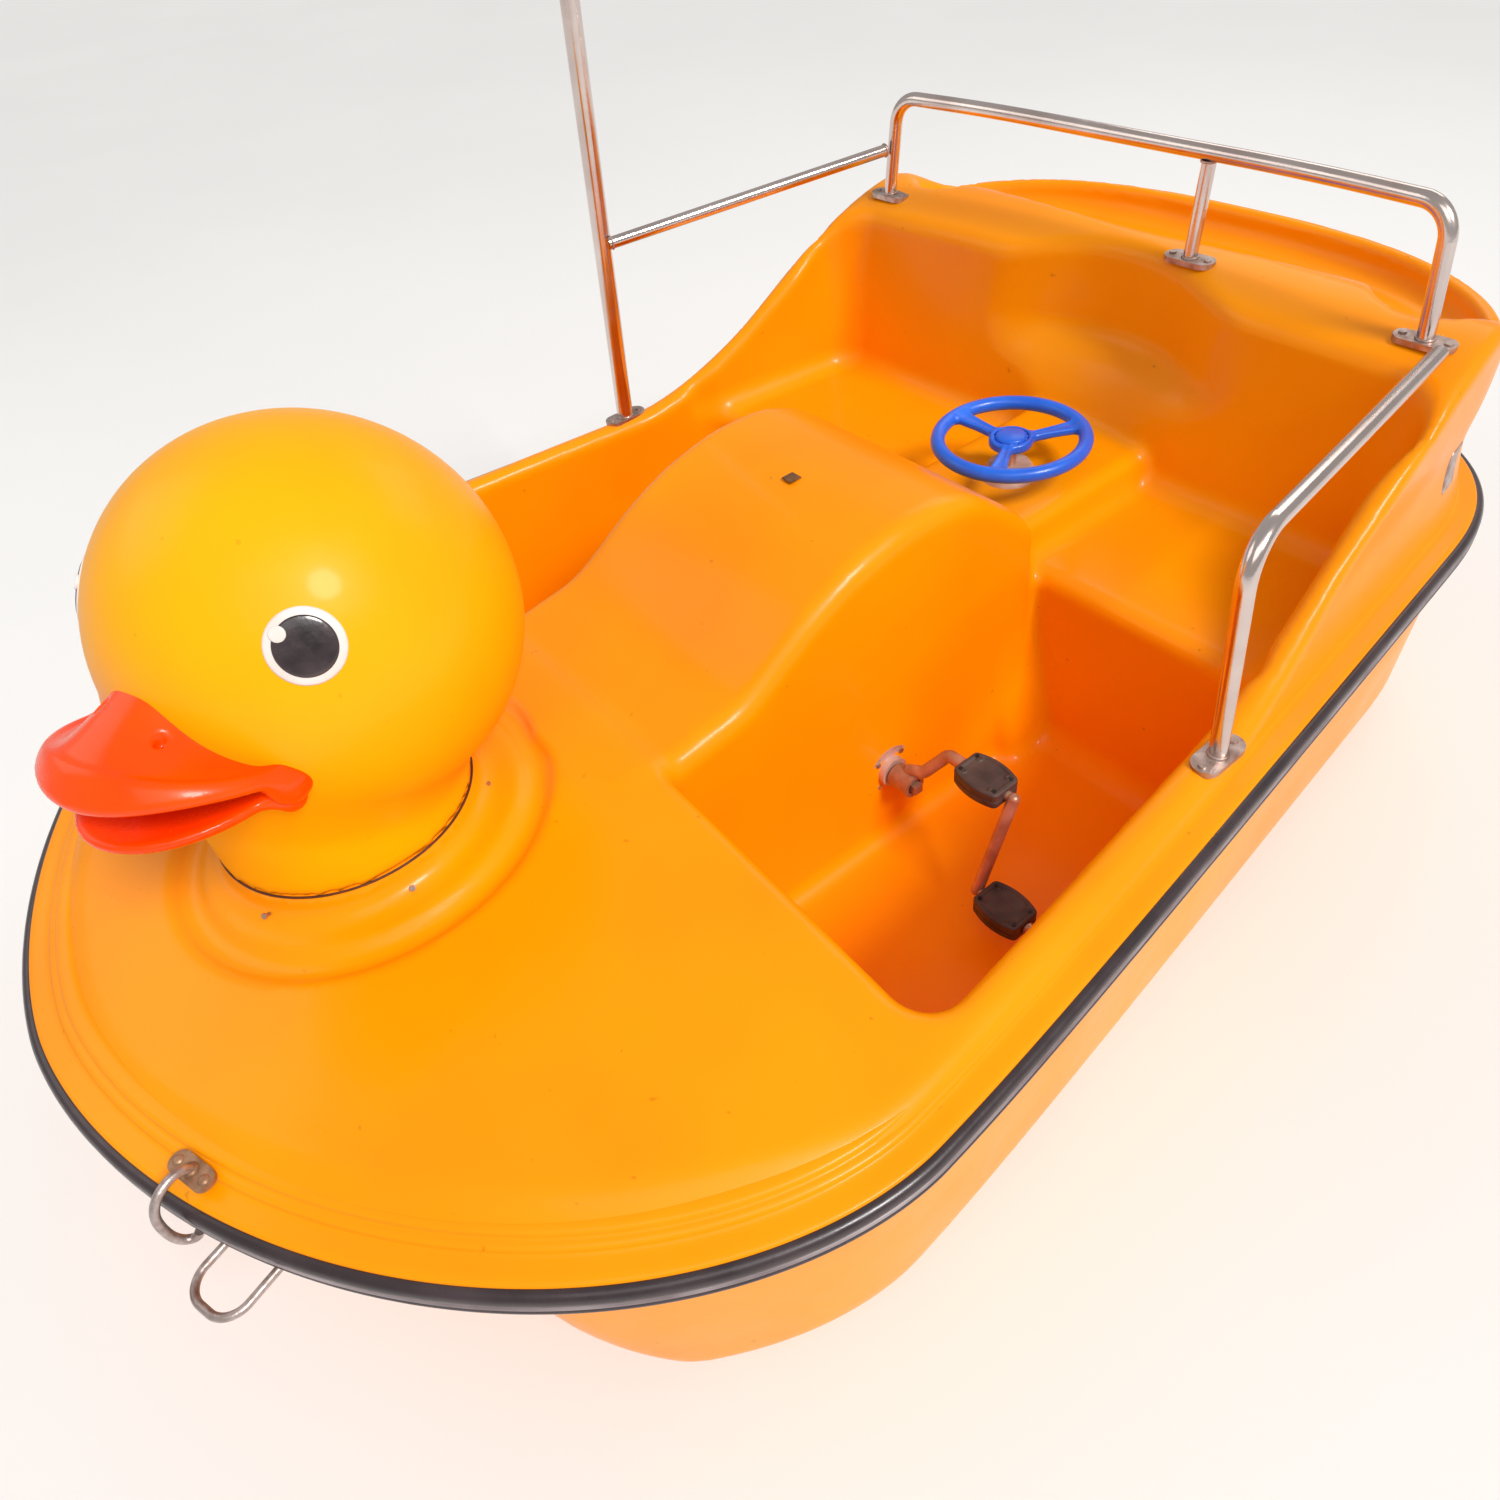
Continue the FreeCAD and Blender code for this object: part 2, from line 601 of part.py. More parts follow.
# ---- bow fittings ----
def bow_fittings():
    spot = V(*BOW_PLATE, deck_height(*BOW_PLATE))
    way = V(*BOW_WAY).normalize()
    out = V(way.y, -way.x, 0)
    up = V(0, 0, 1)
    slab = Part.makeBox(BOW_PLATE_LENGTH, BOW_PLATE_WIDTH, 7,
                        V(-BOW_PLATE_LENGTH / 2.0, -BOW_PLATE_WIDTH / 2.0, -3))
    upright = [e for e in slab.Edges if abs(e.tangentAt(e.FirstParameter).z) > 0.99]
    slab = slab.makeFillet(BOW_PLATE_WIDTH / 2.0 - 0.5, upright)
    slab.rotate(V(0, 0, 0), V(0, 0, 1), math.degrees(math.atan2(way.y, way.x)))
    slab.translate(spot)
    save("bow_plate", slab)
    screws = [Part.makeCylinder(5.0, 2.5, spot + way * (BOW_SCREW_REACH * side) + up * 4.0)
              for side in (-1, 1)]
    save("bow_plate_screws", group(screws))
    rod = [spot + up * 4.0, spot + up * 14.0 + out * 14.0, spot + up * 4.0 + out * 52.0,
           spot - up * 46.0 + out * 56.0, spot - up * 66.0 + out * 40.0]
    save("bow_hook", bent_tube(rod, [9.0, 12.0, 9.0], HOOK_R, 0))
    eye_mid = V(*TOW_EYE, JOINT_Z - TOW_EYE_DROP)
    eye = [eye_mid + way * (TOW_EYE_HALF * side) + out * reach
           for side, reach in ((-1, -4.0), (-1, TOW_EYE_REACH), (1, TOW_EYE_REACH), (1, -4.0))]
    save("tow_eye", bent_tube(eye, [TOW_EYE_BEND, TOW_EYE_BEND], TOW_EYE_R, 0))


# ---- pedal drive ----
def flange_set():
    flanges = {}
    bolts = []
    for side, name in ((1, "port"), (-1, "starboard")):
        face = side * (HUMP_HALF + 0.2)
        axle = V(face, AXLE_S, AXLE_Z)
        disc = cylinder(axle, axle + V(side * FLANGE_PLATE, 0, 0), FLANGE_R)
        boss = cylinder(axle, axle + V(side * BOSS_LENGTH, 0, 0), BOSS_R)
        bore = cylinder(axle - V(side, 0, 0), axle + V(side * (BOSS_LENGTH + 1.0), 0, 0),
                        SHAFT_R + 0.06)
        flanges[name] = disc.fuse(boss).cut(bore)
        for i in range(4):
            turn = math.radians(45.0 + 90.0 * i)
            spot = axle + V(side * FLANGE_PLATE, BOLT_CIRCLE * math.cos(turn),
                            BOLT_CIRCLE * math.sin(turn))
            bolts.append(cylinder(spot, spot + V(side * 3.0, 0, 0), BOLT_R))
    save("port_bearing_flange", flanges["port"])
    save("starboard_bearing_flange", flanges["starboard"])
    save("bearing_flange_bolts", group(bolts))


def crank(side):
    """One bent crank: a sleeve on the shaft, two opposite throws, and a spindle at each."""
    lean = math.radians(CRANK_LEAN)
    way = V(0, math.sin(lean), math.cos(lean)) * side
    axle = V(0, AXLE_S, AXLE_Z)

    def at(x, throw):
        return axle + V(side * x, 0, 0) + way * throw

    half = PEDAL_LENGTH / 2.0
    inner, outer = PEDAL_X
    web_x = (inner + outer) / 2.0
    sleeve = cylinder(at(SLEEVE[0], 0), at(SLEEVE[1], 0), SLEEVE_R)
    sleeve = sleeve.cut(cylinder(at(SLEEVE[0] - 1.0, 0), at(SLEEVE[1] + 1.0, 0), SHAFT_R + 0.3))
    first = bent_tube([at(288.0, 19.0), at(318.0, 34.0), at(352.0, CRANK_THROW),
                       at(inner - half - 1.0, CRANK_THROW)], [14.0, 18.0], CRANK_TUBE_R, 0)
    spindle_1 = cylinder(at(inner - half - 2.0, CRANK_THROW),
                         at(web_x, CRANK_THROW), PEDAL_SPINDLE_R)
    web = cylinder(at(web_x, CRANK_THROW), at(web_x, -CRANK_THROW), CRANK_TUBE_R - 1.0)
    knob_1 = Part.makeSphere(CRANK_TUBE_R - 0.5, at(web_x, CRANK_THROW))
    knob_2 = Part.makeSphere(CRANK_TUBE_R - 0.5, at(web_x, -CRANK_THROW))
    spindle_2 = cylinder(at(web_x, -CRANK_THROW), at(outer + half + 8.0, -CRANK_THROW),
                         PEDAL_SPINDLE_R)
    end = cylinder(at(outer + half + 2.0, -CRANK_THROW), at(outer + half + 10.0, -CRANK_THROW),
                   CRANK_TUBE_R)
    return sleeve.fuse([first, spindle_1, web, knob_1, knob_2, spindle_2, end]), at


def pedal(centre, name):
    half = PEDAL_LENGTH / 2.0
    wide = PEDAL_WIDTH / 2.0
    edges = []
    for low, high, out in ((-half, half, 1), (half, -half, -1)):
        start = V(low, out * (wide - PEDAL_BULGE), 0)
        middle = V(0, out * wide, 0)
        end = V(high, out * (wide - PEDAL_BULGE), 0)
        edges.append(Part.Arc(start, middle, end).toShape())
        edges.append(Part.LineSegment(end, V(high, -out * (wide - PEDAL_BULGE), 0)).toShape())
    block = Part.Face(Part.Wire(edges)).extrude(V(0, 0, PEDAL_THICK))
    block.translate(centre - V(0, 0, PEDAL_THICK / 2.0))
    bore = cylinder(centre - V(half + 1, 0, 0), centre + V(half + 1, 0, 0), PEDAL_BORE_R)
    save(name, block.cut(bore))
    screws = []
    for dx in (-1, 1):
        for ds in (-1, 1):
            for dz in (-1, 1):
                spot = centre + V(dx * (half - 10.0), ds * (wide - 17.0), dz * PEDAL_THICK / 2.0)
                screws.append(cylinder(spot, spot + V(0, 0, dz * 1.2), 3.4))
    save(name + "_screws", group(screws))


def drive():
    axle = V(0, AXLE_S, AXLE_Z)
    reach = V(SHAFT_HALF, 0, 0)
    shaft = cylinder(axle - reach, axle + reach, SHAFT_R)
    square = Part.makeBox(2.0 * SQUARE_HALF, SQUARE, SQUARE,
                          axle - V(SQUARE_HALF, SQUARE / 2.0, SQUARE / 2.0))
    save("paddle_shaft", shaft.fuse(square))
    reach = V(HUB_HALF, 0, 0)
    hub = cylinder(axle - reach, axle + reach, HUB_R)
    reach = V(HUB_HALF + 1.0, 0, 0)
    save("paddle_hub", hub.cut(cylinder(axle - reach, axle + reach, SHAFT_R)))
    paddles = []
    for i in range(PADDLE_COUNT):
        blade = box(-BLADE_HALF, BLADE_HALF, -BLADE_THICK / 2.0, BLADE_THICK / 2.0,
                    HUB_R + 0.05, PADDLE_R)
        blade.rotate(V(0, 0, 0), V(1, 0, 0), 360.0 * (i + 0.5) / PADDLE_COUNT)
        blade.translate(axle)
        paddles.append(blade)
    save("paddle_blades", group(paddles))
    flange_set()
    for side, name in ((1, "port"), (-1, "starboard")):
        shape, at = crank(side)
        save(name + "_crank", shape)
        pedal(at(PEDAL_X[0], CRANK_THROW), name + "_inner_pedal")
        pedal(at(PEDAL_X[1], -CRANK_THROW), name + "_outer_pedal")


# ---- steering ----
def steering():
    centre = V(WHEEL_X, WHEEL_S, WHEEL_Z)
    rim = Part.makeTorus(WHEEL_R - RIM_R, RIM_R, centre)
    hub = Part.makeCylinder(HUB_PLATE_R, 26, centre - V(0, 0, 20))
    spokes = []
    for i in range(SPOKE_COUNT):
        spoke = Part.makeBox(WHEEL_R - RIM_R - 4.0, SPOKE_WIDTH, SPOKE_THICK,
                             V(0, -SPOKE_WIDTH / 2.0, 2.0 - SPOKE_THICK))
        spoke.rotate(V(0, 0, 0), V(0, 0, 1), 360.0 * (i + 0.5) / SPOKE_COUNT)
        spoke.translate(centre)
        spokes.append(spoke)
    seat = cylinder(centre - V(0, 0, 30), centre - V(0, 0, 4), COLUMN_R)
    save("steering_wheel", hub.fuse(spokes).fuse(rim).cut(seat))
    save("steering_wheel_cap", Part.makeCylinder(CAP_R, 4, centre + V(0, 0, 6.1)))
    column = cylinder(V(WHEEL_X, WHEEL_S, LINK_Z - 14.0), centre - V(0, 0, 4.1), COLUMN_R)
    save("steering_column", column)
    ring = Part.makeCone(*COLUMN_FLANGE, V(WHEEL_X, WHEEL_S, CONSOLE_Z + 0.2))
    bore = cylinder(V(WHEEL_X, WHEEL_S, CONSOLE_Z - 1),
                    V(WHEEL_X, WHEEL_S, CONSOLE_Z + 30), COLUMN_R + 0.06)
    save("column_flange", ring.cut(bore))
    arm_at(V(WHEEL_X, WHEEL_S, LINK_Z), COLUMN_R, "pitman_arm")
    arm_at(V(0, RUDDER_S, LINK_Z), STOCK_R, "tiller_arm")
    pins = []
    for x, s in ((WHEEL_X, WHEEL_S), (0.0, RUDDER_S)):
        spot = V(x + ARM, s, LINK_Z)
        pin = Part.makeCylinder(PIN_R, 28, spot + V(0, 0, -9))
        pins.append(pin.fuse(Part.makeCylinder(10, 4, spot + V(0, 0, 18.6))))
    save("pitman_pin", pins[0])
    save("tiller_pin", pins[1])
    start = V(WHEEL_X + ARM, WHEEL_S, LINK_Z + 10.2)
    end = V(ARM, RUDDER_S, LINK_Z + 10.2)
    way = (end - start).normalize()
    across = V(-way.y, way.x, 0) * LINK_HALF
    bar = Part.Face(Part.makePolygon([
        start + across, end + across, end - across, start - across,
        start + across])).extrude(V(0, 0, LINK_THICK))
    bar = bar.fuse([Part.makeCylinder(16, LINK_THICK, start),
                    Part.makeCylinder(16, LINK_THICK, end)])
    bar = bar.cut(Part.makeCylinder(PIN_R + 0.05, 20, start - V(0, 0, 5)))
    bar = bar.cut(Part.makeCylinder(PIN_R + 0.6, 20, end - V(0, 0, 5)))
    save("drag_link", bar)
    stock_low = V(0, RUDDER_S, 40.0)
    stock_high = V(0, RUDDER_S, LINK_Z + 12.0)
    save("rudder_stock", cylinder(stock_low, stock_high, STOCK_R))
    tube = cylinder(V(0, RUDDER_S, TUNNEL_Z - 6.0), V(0, RUDDER_S, 280.0), STOCK_TUBE_R)
    collar = cylinder(V(0, RUDDER_S, TUNNEL_Z + LAMINATE + 0.1), V(0, RUDDER_S, 220.0),
                      STOCK_COLLAR_R)
    bore = cylinder(V(0, RUDDER_S, 150), V(0, RUDDER_S, 300), STOCK_R + 0.06)
    tube = tube.fuse(collar).cut(bore)
    save("rudder_tube", tube)
    blade = [V(-4, RUDDER_S - 60, 30), V(-4, RUDDER_S + 150, 30),
             V(-4, RUDDER_S + 130, 185), V(-4, RUDDER_S - 40, 185)]
    face = Part.Face(Part.makePolygon(blade + blade[:1]))
    plate = face.extrude(V(8, 0, 0)).cut(cylinder(V(0, RUDDER_S, 0), V(0, RUDDER_S, 200), STOCK_R))
    save("rudder_blade", plate)


def arm_at(spot, bore_r, name):
    low = V(0, 0, -ARM_THICK / 2.0)
    far = V(ARM, 0, 0)
    arm = Part.makeBox(ARM, ARM_WIDTH, ARM_THICK, spot + V(0, -ARM_WIDTH / 2.0, 0) + low)
    arm = arm.fuse([Part.makeCylinder(ARM_HUB_R, ARM_THICK, spot + low),
                    Part.makeCylinder(ARM_END_R, ARM_THICK, spot + far + low)])
    arm = arm.cut(Part.makeCylinder(bore_r, 40, spot - V(0, 0, 20)))
    save(name, arm.cut(Part.makeCylinder(PIN_R, 40, spot + V(ARM, 0, -20))))


def small_parts():
    plate = box(-26, 26, -1.5, 1.5, 0, 74)
    plate.rotate(V(0, 0, 0), V(0, 0, 1), -72)
    plate.translate(V(half_beam(2160) - 11.5, 2160, JOINT_Z + 80.0))
    save("rating_plate", plate)
    patch = box(-11, 11, 1258, 1280, 0, 2)
    patch.translate(V(0, 0, JOINT_Z + 247.0))
    save("hump_patch", patch)
    drain = V(DRAIN_X, DRAIN_S, DRAIN_Z)
    plug = cylinder(drain - V(0, 16.0, 0), drain + V(0, 4.0, 0), DRAIN_R)
    save("drain_plug", plug)
    bow = plan(60.0, JOINT_Z - 60.0, JOINT_Z)
    save("bow_foam", bow.common(box(-600, 600, 120, 760, 0, 900)))
    stern = plan(60.0, JOINT_Z + 20.0, JOINT_Z + 230.0)
    save("stern_foam", stern.common(box(-480, 480, 2140, 2600, 0, 900)))


def main():
    os.makedirs("parts", exist_ok=True)
    save("deck_moulding", deck_shell())
    save("hull_moulding", hull_shell())
    save("fender", fender())
    save("fender_insert", fender_insert())
    save("head_shell", head_shell())
    save("upper_beak", beak_half(True))
    save("lower_beak", beak_half(False))
    save("eye_whites", group([eye_disc(side, EYE_R, 1.8, 0.2) for side in (1, -1)]))
    save("eye_pupils", group([eye_disc(side, PUPIL_R, 3.2, 2.0) for side in (1, -1)]))
    save("eye_highlights", group([eye_disc(side, 8.0, 4.2, 3.4, (-5.0, 4.5)) for side in (1, -1)]))
    save("neck_screws", neck_screws())
    rails()
    base_plates()
    bow_fittings()
    drive()
    steering()
    small_parts()


main()
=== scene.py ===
import json
import math
import bpy
import numpy as np
from mathutils import Matrix, Vector


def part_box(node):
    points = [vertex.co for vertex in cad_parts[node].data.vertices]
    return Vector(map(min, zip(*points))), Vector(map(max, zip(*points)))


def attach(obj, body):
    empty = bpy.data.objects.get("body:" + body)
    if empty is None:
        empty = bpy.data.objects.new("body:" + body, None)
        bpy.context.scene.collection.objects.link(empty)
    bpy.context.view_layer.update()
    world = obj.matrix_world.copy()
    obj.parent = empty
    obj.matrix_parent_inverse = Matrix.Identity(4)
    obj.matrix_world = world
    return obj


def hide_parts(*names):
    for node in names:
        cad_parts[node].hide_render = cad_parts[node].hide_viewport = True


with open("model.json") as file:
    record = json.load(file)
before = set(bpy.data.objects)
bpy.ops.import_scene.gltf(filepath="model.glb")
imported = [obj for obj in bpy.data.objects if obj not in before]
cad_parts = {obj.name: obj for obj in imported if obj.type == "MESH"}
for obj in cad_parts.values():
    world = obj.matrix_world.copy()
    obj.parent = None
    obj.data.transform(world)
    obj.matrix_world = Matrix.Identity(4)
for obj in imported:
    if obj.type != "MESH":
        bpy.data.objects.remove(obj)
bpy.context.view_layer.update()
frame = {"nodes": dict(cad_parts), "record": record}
NODES = frame["nodes"]

# Pedal boat with a duck's head, in metres. x runs to port, y aft and z up.
# s is the station aft of the bow, so that y = s - HALF_LENGTH.

# ---- sizes of the two mouldings ----
HALF_LENGTH = 1.2475
LENGTH = 2.0 * HALF_LENGTH
JOINT = 0.42                # height of the joint between hull and deck
BOW_LENGTH = 0.736
BOW_POWER = 1.8
HALF_BEAM = 0.854
STERN_START = 2.05
STERN_POWER = 2.8
SIDE_TAPER, TAPER_BLEND = 0.12, 0.2
GUNWALE_WIDTH = 0.09
GUNWALE_LOW, GUNWALE_RISE = 0.05, 0.312
TRAY_DROP, BOW_DROP = 0.062, 0.022
FOREDECK_LOW, FOREDECK_RISE = 0.03, 0.075
CROWN_AFT, CROWN_HALF = 0.022, 0.76
DECK_INSET, WALL_LEAN = 0.028, 0.02
FLUTE_DEPTH, FLUTE_HEIGHT, FLUTE_WIDTH = 0.008, 0.13, 0.06
WELL_START, WELL_END, WELL_FLOOR = 0.818, 1.6, 0.07
SEAT_END, SEAT_Z = 1.945, 0.427
CONSOLE_END = 2.0
BAY_X, BAY_S, BAY_HALF, BAY_REACH = 0.04, 1.80, 0.285, 0.245
LEDGE_RISE = 0.178          # how far the bay's floor climbs to its ledge
TRAY_START, TRAY_Z, TRAY_INSET = 2.135, 0.682, 0.078
SCOOP = (0.505, 2.16, 0.79)
SCOOP_SIZE = (0.085, 0.075, 0.085)
HUMP_HALF = 0.245
CONSOLE_X, CONSOLE_HALF, CONSOLE_Z = 0.05, 0.137, 0.49
TUNNEL_HALF, TUNNEL_Z = 0.207, 0.2
AXLE_S, AXLE_Z = 1.23, 0.22
WHEEL_BOX_REACH, WHEEL_BOX_Z = 0.215, 0.45
POCKET_HALF, POCKET_R = 0.197, 0.208
HULL_INSET, HULL_FLARE, BILGE_R = 0.012, 0.045, 0.085
BOW_LIP_Z, NOSE_START, NOSE_LENGTH = 0.34, 0.32, 0.3
NECK_S, NECK_Z, NECK_R, NECK_FOOT_R = 0.46, 0.545, 0.172, 0.226
COLLAR_HEIGHT = 0.095
TROUGH_R, TROUGH_SIZE, TROUGH_END = 0.245, 0.026, 0.72
HUMP_LINE = (
    (0.70, 0.070), (0.805, 0.084), (0.900, 0.097), (0.965, 0.106), (1.012, 0.134),
    (1.096, 0.188), (1.185, 0.228), (1.290, 0.250), (1.390, 0.246), (1.455, 0.222),
    (1.520, 0.172), (1.600, 0.096), (1.70, 0.02),
)
GRID_LOW, GRID_HIGH = (-0.87, -0.02), (0.87, 2.52)
DECK_STEP = 0.0105
HULL_STEP = 0.013


# ---- rounded joins of distance fields, which are negative inside ----
def join(a, b, r):
    """Both solids, with a fillet of radius r between them."""
    return np.maximum(r, np.minimum(a, b)) - np.hypot(np.maximum(r - a, 0), np.maximum(r - b, 0))


def meet(a, b, r):
    """What both solids share, with its edge rounded to radius r."""
    return np.minimum(-r, np.maximum(a, b)) + np.hypot(np.maximum(r + a, 0), np.maximum(r + b, 0))


def smoothstep(low, high, value):
    t = np.clip((value - low) / (high - low), 0.0, 1.0)
    return t * t * (3.0 - 2.0 * t)


# ---- outline ----
def half_beam(s):
    past_bow = s - BOW_LENGTH
    width = HALF_BEAM - SIDE_TAPER * (past_bow + np.hypot(past_bow, TAPER_BLEND)) / 2.0
    front = np.minimum(s, BOW_LENGTH) / BOW_LENGTH
    width = width * np.maximum(1.0 - np.abs(1.0 - front) ** BOW_POWER, 0) ** (1 / BOW_POWER)
    turn = np.clip((s - STERN_START) / (LENGTH - STERN_START), 0.0, 1.0)
    return width * np.maximum(1.0 - turn ** STERN_POWER, 0) ** (1 / STERN_POWER)


def port_outline(count):
    """Evenly spaced points of the port half, from bow to transom, with outward normals."""
    turn = np.linspace(0.0, 1.0, 20001)
    s = LENGTH * (10.0 * turn ** 3 - 15.0 * turn ** 4 + 6.0 * turn ** 5)
    x = half_beam(s)
    run = np.concatenate([[0.0], np.cumsum(np.hypot(np.diff(x), np.diff(s)))])
    at = np.linspace(0.0, run[-1], count)
    x, s = np.interp(at, run, x), np.interp(at, run, s)
    dx, ds = np.gradient(x), np.gradient(s)
    size = np.hypot(dx, ds)
    nx, ns = ds / size, -dx / size
    nx[0] = nx[-1] = 0.0
    ns[0], ns[-1] = -1.0, 1.0
    return x, s, nx, ns


EDGE_X, EDGE_S, EDGE_NX, EDGE_NS = port_outline(1200)
CELL = 0.01                 # plan grid of the nearest outline points
MARGIN = 0.1


def nearest_table():
    """The nearest outline point for each cell of a coarse plan grid."""
    xs = np.arange(0.0, 1.0, CELL)
    rows = []
    for s in np.arange(-MARGIN, LENGTH + MARGIN, CELL):
        far = (xs[:, None] - EDGE_X) ** 2 + (s - EDGE_S) ** 2
        rows.append(far.argmin(axis=1))
    return np.array(rows)


NEAREST = nearest_table()


def outline_distance(x, s):
    """Distance in plan from the outline, negative inside."""
    x, s = np.broadcast_arrays(np.abs(x), s)
    row = np.clip(np.rint((s + MARGIN) / CELL).astype(int), 0, NEAREST.shape[0] - 1)
    column = np.clip(np.rint(x / CELL).astype(int), 0, NEAREST.shape[1] - 1)
    guess = NEAREST[row, column]
    best = guess.copy()
    least = np.full(x.shape, np.inf)
    for shift in range(-6, 7):
        at = np.clip(guess + shift, 0, len(EDGE_X) - 1)
        far = (x - EDGE_X[at]) ** 2 + (s - EDGE_S[at]) ** 2
        nearer = far < least
        best = np.where(nearer, at, best)
        least = np.where(nearer, far, least)
    return (x - EDGE_X[best]) * EDGE_NX[best] + (s - EDGE_S[best]) * EDGE_NS[best]


# ---- deck ----
def gunwale_height(s):
    rise = GUNWALE_RISE * smoothstep(1.39, 2.15, s)
    drop = TRAY_DROP * smoothstep(2.09, 2.26, s)
    bow = BOW_DROP * (1.0 - smoothstep(0.0, 0.6, s))
    return JOINT + GUNWALE_LOW + rise - drop - bow


def deck_height(x, s):
    """Height of the crowned deck, without the hump and the cockpit."""
    side = gunwale_height(s)
    foredeck = JOINT + FOREDECK_LOW + FOREDECK_RISE * (1.0 - np.exp(-np.maximum(s, 0.0) / 0.3))
    centre = foredeck + (side + CROWN_AFT - foredeck) * smoothstep(0.9, 1.9, s)
    return side + (centre - side) * np.maximum(1.0 - (x / CROWN_HALF) ** 2, -0.3)


def hump_table():
    """The hump's profile through its points, smoothed."""
    s = np.arange(0.6, 1.9, 0.004)
    z = np.interp(s, *np.array(HUMP_LINE).T)
    reach = np.arange(-20, 21)
    weight = np.exp(-(reach / 8.0) ** 2)
    z = np.convolve(np.pad(z, 20, "edge"), weight / weight.sum(), "valid")
    return s, z


HUMP_S, HUMP_H = hump_table()


def open_air(x, s, z, o):
    """Footwells, seats and stern bay."""
    well = meet(WELL_START - s, s - WELL_END, 0.01)
    well = meet(o + GUNWALE_WIDTH, well, 0.06)
    well = meet(well, WELL_FLOOR - z, 0.05)
    seat = meet(o + GUNWALE_WIDTH, s - SEAT_END, 0.06)
    lean = 0.03 * smoothstep(0.45, 0.75, z)
    seat = meet(seat - lean * smoothstep(1.8, 1.94, s), SEAT_Z - z, 0.045)
    seat = meet(seat, WELL_END - 0.06 - s, 0.01)
    bay_r = np.hypot((x - BAY_X) / BAY_HALF, (s - BAY_S) / BAY_REACH)
    ledge = SEAT_Z + LEDGE_RISE * smoothstep(0.35, 0.93, bay_r)
    bay = meet((bay_r - 1.0) * 0.25, (ledge - z) * 0.8, 0.035)
    bay = meet(bay, 1.75 - s, 0.02)
    return join(join(well, seat, 0.028), bay, 0.045)


def console_field(x, s, z):
    """The block under the steering wheel, wider towards its foot."""
    sides = meet(np.abs(x - CONSOLE_X) - CONSOLE_HALF - 0.25 * (CONSOLE_Z - z), 1.5 - s, 0.02)
    return meet(meet(sides, z - CONSOLE_Z, 0.02), s - CONSOLE_END, 0.02)


def hump_field(x, s, z):
    """The housing over the paddle wheel."""
    top = (z - JOINT - np.interp(s, HUMP_S, HUMP_H)) * 0.86
    side = np.abs(x) - HUMP_HALF + 0.03 * (z - JOINT)
    hump = meet(top, meet(side, s - WELL_END, 0.05), 0.03)
    return meet(hump, 0.75 - s, 0.02)


def collar_field(x, s, z):
    """The foot under the duck's neck, which flares into the deck."""
    r = np.hypot(x, s - NECK_S)
    cone = (r - NECK_R - (NECK_FOOT_R - NECK_R) * ((NECK_Z - z) / COLLAR_HEIGHT) ** 2) * 0.9
    return meet(cone, z - NECK_Z, 0.003)


def tray_air(x, s, z, o):
    """The open tray at the stern, with a scoop at each end."""
    tray = meet(o + TRAY_INSET, TRAY_START - s - 0.03 * np.cos(x * 5.0), 0.06)
    tray = meet(tray, TRAY_Z - z, 0.04)
    for side in (1, -1):
        scoop = np.sqrt(((x - side * SCOOP[0]) / SCOOP_SIZE[0]) ** 2
                        + ((s - SCOOP[1]) / SCOOP_SIZE[1]) ** 2
                        + ((z - SCOOP[2]) / SCOOP_SIZE[2]) ** 2)
        tray = join(tray, (scoop - 1.0) * SCOOP_SIZE[1], 0.02)
    return tray


def deck_field(x, s, z):
    """The deck moulding, from the wells' floors to the top of the housing."""
    o = outline_distance(x, s)
    top = deck_height(x, s)
    high = np.maximum(z - JOINT - 0.02, 0.0)
    aft = smoothstep(1.2, 1.9, s)
    flute = FLUTE_DEPTH * aft * np.exp(-((high - FLUTE_HEIGHT) / FLUTE_WIDTH) ** 2)
    inset = DECK_INSET + WALL_LEAN * (1.0 - np.exp(-high / 0.04)) + flute
    deck = meet(z - top, (o + inset) * 0.95, 0.02 + 0.03 * (1.0 - smoothstep(0.5, 0.8, s)))
    ring = np.hypot(x, s - NECK_S - 0.01)
    trough = np.hypot(ring - TROUGH_R, (z - top - 0.012)) - TROUGH_SIZE
    trough = meet(trough, s - TROUGH_END + 0.3 * np.minimum(x - 0.05, 0.0), 0.01)
    deck = meet(deck, -trough, 0.006)
    deck = join(deck, collar_field(x, s, z), 0.022)
    air = open_air(x, s, z, o)
    deck = meet(deck, -air, 0.024)
    deck = join(deck, hump_field(x, s, z), 0.03)
    deck = join(deck, console_field(x, s, z), 0.025)
    deck = meet(deck, -tray_air(x, s, z, o), 0.018)
    pocket = meet(np.abs(x) - POCKET_HALF, np.hypot(s - AXLE_S, z - AXLE_Z) - POCKET_R, 0.01)
    deck = meet(deck, -pocket, 0.004)
    keep = np.minimum(JOINT - 0.004 - z, air - 0.024)
    return meet(deck, keep, 0.002)


